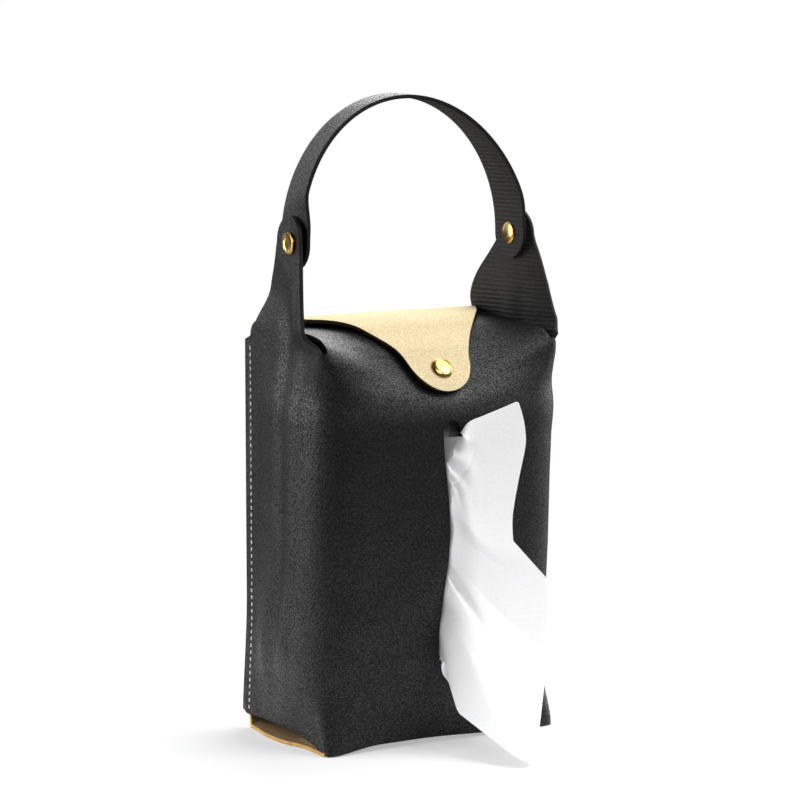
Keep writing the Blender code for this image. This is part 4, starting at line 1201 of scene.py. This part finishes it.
# %% The pulled tissue
TISSUE_RUNS_MM = (
    ((4.2, -50.0, 150.7), (8.1, -50.8, 155.8), (15.5, -51.8, 158.4), (25.5, -53.0, 161.6), (33.7, -53.8, 164.3)),
    (
        (33.7, -53.8, 164.3), (36.4, -54.0, 156.5), (38.0, -54.0, 147.2), (37.3, -54.0, 140.0),
        (34.0, -53.8, 126.5), (30.6, -53.8, 109.6), (30.3, -54.8, 97.5),
    ),
    ((30.3, -54.8, 97.5), (39.5, -56.0, 87.5), (49.1, -56.8, 77.4)),
    ((49.1, -56.8, 77.4), (48.2, -58.8, 60.0), (46.9, -61.0, 42.7)),
    ((46.9, -61.0, 42.7), (36.7, -71.0, 21.0), (21.3, -90.0, 5.7), (11.4, -102.0, 1.8)),
    ((11.4, -102.0, 1.8), (5.0, -98.0, 4.6), (0.0, -82.0, 11.8), (-4.8, -63.0, 19.6)),
    ((-4.8, -63.0, 19.6), (-3.9, -54.0, 31.2), (-6.7, -50.5, 38.6), (-6.3, -50.6, 42.0)),
)
ROOT_TOP_Z = SLOT_TOP_Z - 0.0105
MOUTH_TOP_Z = SLOT_TOP_Z - 0.0080
MOUTH_LOW_Z = SLOT_BOTTOM_Z + 0.0006
MOUTH_X = 0.0032
MOUTH_CROSSING = 0.0069
CROSSING_SHARE = 0.14
GATHER = 0.0005
GATHERS = 5.5
MOUTH_CLEARANCE = 0.0010
STACK_CLEARANCE = 0.0003
INSIDE_SHARE = 0.2
LIFT = 0.0035
SAG = 0.005
LOWEST_Z = 0.0016


def folds(share, out):
    """How far the sheet stands out of its plane: folds that fan from the slot, a hollow and a crease."""
    wedge = 0.0012 * np.sin(math.tau * 1.7 * share / (0.11 + 0.50 * out)) * (1 - smooth(share * 5 - 0.6))
    fan = 0.0008 * np.sin(math.tau * 3.1 * share + 1.2 + 0.8 * out) * smooth(out * 3) * (1 - 0.7 * out)
    hollow = -0.0034 * hump(share - 0.60 - 0.05 * out, 0.0, 0.040) * (1 - smooth(out * 2.4))
    crease = -0.0014 * hump(share - 0.23 + 0.30 * out, 0.0, 0.016) * (1 - smooth(out * 2.6))
    return wedge * (1 - smooth(out * 2.2)) + fan + hollow + crease


def tissue_grid():
    """Rows along the sheet, from its root at the stack through the slot's mouth to its free edge."""
    runs = [curved(np.array(run) * MILLIMETRE, 6) for run in TISSUE_RUNS_MM]
    edge = spaced(np.concatenate([runs[0], *[run[1:] for run in runs[1:]]]), 190)
    share = np.linspace(0, 1, len(edge))
    root_z, mouth_z = (top + (MOUTH_LOW_Z - top) * share for top in (ROOT_TOP_Z, MOUTH_TOP_Z))
    over = smooth(share / CROSSING_SHARE)
    pull = hump(mouth_z, *LIP_HEIGHT) * over
    mouth_x = MOUTH_X + (GATHER * np.sin(math.tau * GATHERS * share) - MOUTH_CROSSING) * over + LIP_OVER * pull
    mouth_y = FRONT_Y - bulge(mouth_z) - MOUTH_CLEARANCE - LIP_FORWARD * pull
    root_y = PACK_FRONT_Y + STACK_CLEARANCE
    columns = []
    for out in np.linspace(0, 1, 60):
        inside = min(1.0, out / INSIDE_SHARE)
        free = max(0.0, (out - INSIDE_SHARE) / (1 - INSIDE_SHARE))
        x = inside * mouth_x + free * (edge[:, 0] - mouth_x)
        lift = LIFT * smooth(free * 4) * (1 - free) + folds(share, free) * (free > 0)
        y = root_y + inside * (mouth_y - root_y) + free * (edge[:, 1] - mouth_y) - lift
        low = root_z + inside * (mouth_z - root_z)
        sag = math.sin(math.pi * free) * SAG * (edge[:, 2] < low)
        columns.append(joined(x, y, np.maximum(low + free * (edge[:, 2] - low) - sag, LOWEST_Z)))
    return grid_of(np.array(columns).transpose(1, 0, 2))


tissue = leather_piece(
    "pulled_out_tissue", [tissue_grid()], [WHITE_PAPER] * 3, "holder", ["pulled_tissue"],
    thickness=0.0004, edge=0.00008, even=False,
)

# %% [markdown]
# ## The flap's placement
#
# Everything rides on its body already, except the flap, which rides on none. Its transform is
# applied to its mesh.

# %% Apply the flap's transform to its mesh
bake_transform(flap)

# %% [markdown]
# ## Floor, light and camera
#
# The photograph is a packshot: a white ground with a soft contact shadow, and little light from the camera's
# side, so the corner that faces the camera is the darkest. Near the object the floor is part diffuse, to
# take the shadow, and part glowing for the camera. Further out it only glows, so it stays white.

# %% Floor
FLOOR_SIZE = 12.0
FLOOR_BELOW = 0.0002
GLOW_REACH = (0.14, 0.23)
DIM_REACH = (0.21, 0.32)
NEAR_GLOW = 0.42


def seen_and_mirrored(tree):
    """Two masks: what the camera sees, also through the film, and what shows in reflections."""
    path = outputs_of(tree, "ShaderNodeLightPath")
    return math_node(tree, "MAXIMUM", path["Is Camera Ray"], path["Is Transmission Ray"]), path["Is Glossy Ray"]


def mix_surface(tree, output, share, first, second):
    """Sends a mix of two shaders to the tree's output node."""
    mix = outputs_of(tree, "ShaderNodeMixShader", {"Fac": share, 1: first, 2: second})
    feed(tree.nodes[output], {"Surface": mix["Shader"]})


def floor_material():
    """White paper: lit near the object, where it takes the shadow, and glowing for the camera further out."""
    made, tree, shader = new_material("white floor", 0.9, specular=0.0)
    reach = tree.nodes.new("ShaderNodeVectorMath")
    reach.operation = "LENGTH"
    feed(reach, {0: outputs_of(tree, "ShaderNodeTexCoord")["Object"]})
    distance = reach.outputs["Value"]
    dim = ranged(tree, distance, *DIM_REACH)
    feed(shader, {"Base Color": blend_colours(tree, dim, (0.86, 0.86, 0.87), (0.08, 0.08, 0.08))})
    glow = outputs_of(tree, "ShaderNodeEmission", {"Color": WHITE, "Strength": 1.0})["Emission"]
    share = product(tree, seen_and_mirrored(tree)[0], ranged(tree, distance, *GLOW_REACH, NEAR_GLOW, 1.0))
    mix_surface(tree, "Material Output", share, shader.outputs["BSDF"], glow)
    return made


bm = bmesh.new()
bmesh.ops.create_grid(bm, x_segments=1, y_segments=1, size=FLOOR_SIZE / 2)
floor = placed("floor", smooth_mesh("floor", bm))
floor.data.materials.append(floor_material())
floor.location.z = -FLOOR_BELOW
print("floor:", FLOOR_SIZE, "m wide")

# %% [markdown]
# The world is white for the camera. The leather mirrors it too, so for everything else it is dim in front and
# on the left and brighter behind. Low behind the object it is white in reflections, like a lit back wall.


# %% World
def studio_world():
    """White where the camera looks past the object; a dim studio with a bright back wall for everything else."""
    world = bpy.data.worlds.new("studio")
    world.use_nodes = True
    tree = world.node_tree
    direction = outputs_of(tree, "ShaderNodeTexCoord")["Generated"]
    x, y, z = outputs_of(tree, "ShaderNodeSeparateXYZ", {"Vector": direction})
    strength = product(tree, ranged(tree, y, -0.1, 0.6, 0.05, 0.60), ranged(tree, x, -0.6, 0.1, 0.5, 1.0))
    dim = tree.nodes["Background"]
    feed(dim, {"Color": (0.97, 0.98, 1.0, 1.0), "Strength": strength})
    white = outputs_of(tree, "ShaderNodeBackground", {"Color": WHITE})["Background"]
    seen, mirrored_rays = seen_and_mirrored(tree)
    low = ranged(tree, z, 0.45, 0.85, 1.0, 0.0)
    behind = ranged(tree, y, 0.2, 0.7)
    right = ranged(tree, x, -0.55, 0.0)
    share = math_node(tree, "MAXIMUM", seen, product(tree, low, behind, right, mirrored_rays))
    mix_surface(tree, "World Output", share, dim.outputs["Background"], white)
    return world


scene.world = studio_world()
print("world:", scene.world.name)

# %% [markdown]
# Six softboxes stand round the object. Each is given by its azimuth from the front and its elevation in
# degrees, its distance, width and height in metres, and its power in watts. The camera is placed the same way.

# %% Lamps
LAMP_TARGET = (0, 0, 0.15)
LAMPS = (
    ("high_key", 42, 42, 1.6, 1.0, 1.0, 14),
    ("front_soft", -15, 34, 1.7, 1.0, 1.0, 9),
    ("top_box", 74, 60, 1.5, 1.1, 1.1, 12.5),
    ("back_box", 139, 38, 1.5, 1.0, 0.9, 15),
    ("left_box", -114, 10, 1.4, 1.0, 1.0, 20),
    ("right_box", 95, 12, 1.5, 0.7, 1.2, 12),
)


def aimed(name, data, target, azimuth, elevation, distance):
    """A lamp or the camera, at this distance from its target and looking at it."""
    a, e = math.radians(azimuth), math.radians(elevation)
    way = Vector((math.sin(a) * math.cos(e), -math.cos(a) * math.cos(e), math.sin(e)))
    made = placed(name, data)
    made.location = Vector(target) + way * distance
    made.rotation_euler = (-way).to_track_quat("-Z", "Y").to_euler()
    return made


for name, azimuth, elevation, distance, width, height, power in LAMPS:
    light = bpy.data.lights.new(name, "AREA")
    light.shape = "RECTANGLE"
    light.size, light.size_y = width, height
    light.energy = power
    aimed(name, light, LAMP_TARGET, azimuth, elevation, distance)
print("lamps:", len(LAMPS))

# %% Camera
FOCAL_PIXELS = 3000.0
PHOTO_PIXELS = 800.0

camera_data = bpy.data.cameras.new("camera")
camera_data.sensor_width = 36.0
camera_data.lens = camera_data.sensor_width * FOCAL_PIXELS / PHOTO_PIXELS
camera = aimed("camera", camera_data, (0, -0.00125, 0.161), azimuth=-31.0, elevation=7.8, distance=1.45)
scene.camera = camera
scene.view_settings.view_transform = "Standard"
print("lens:", camera_data.lens, "mm")
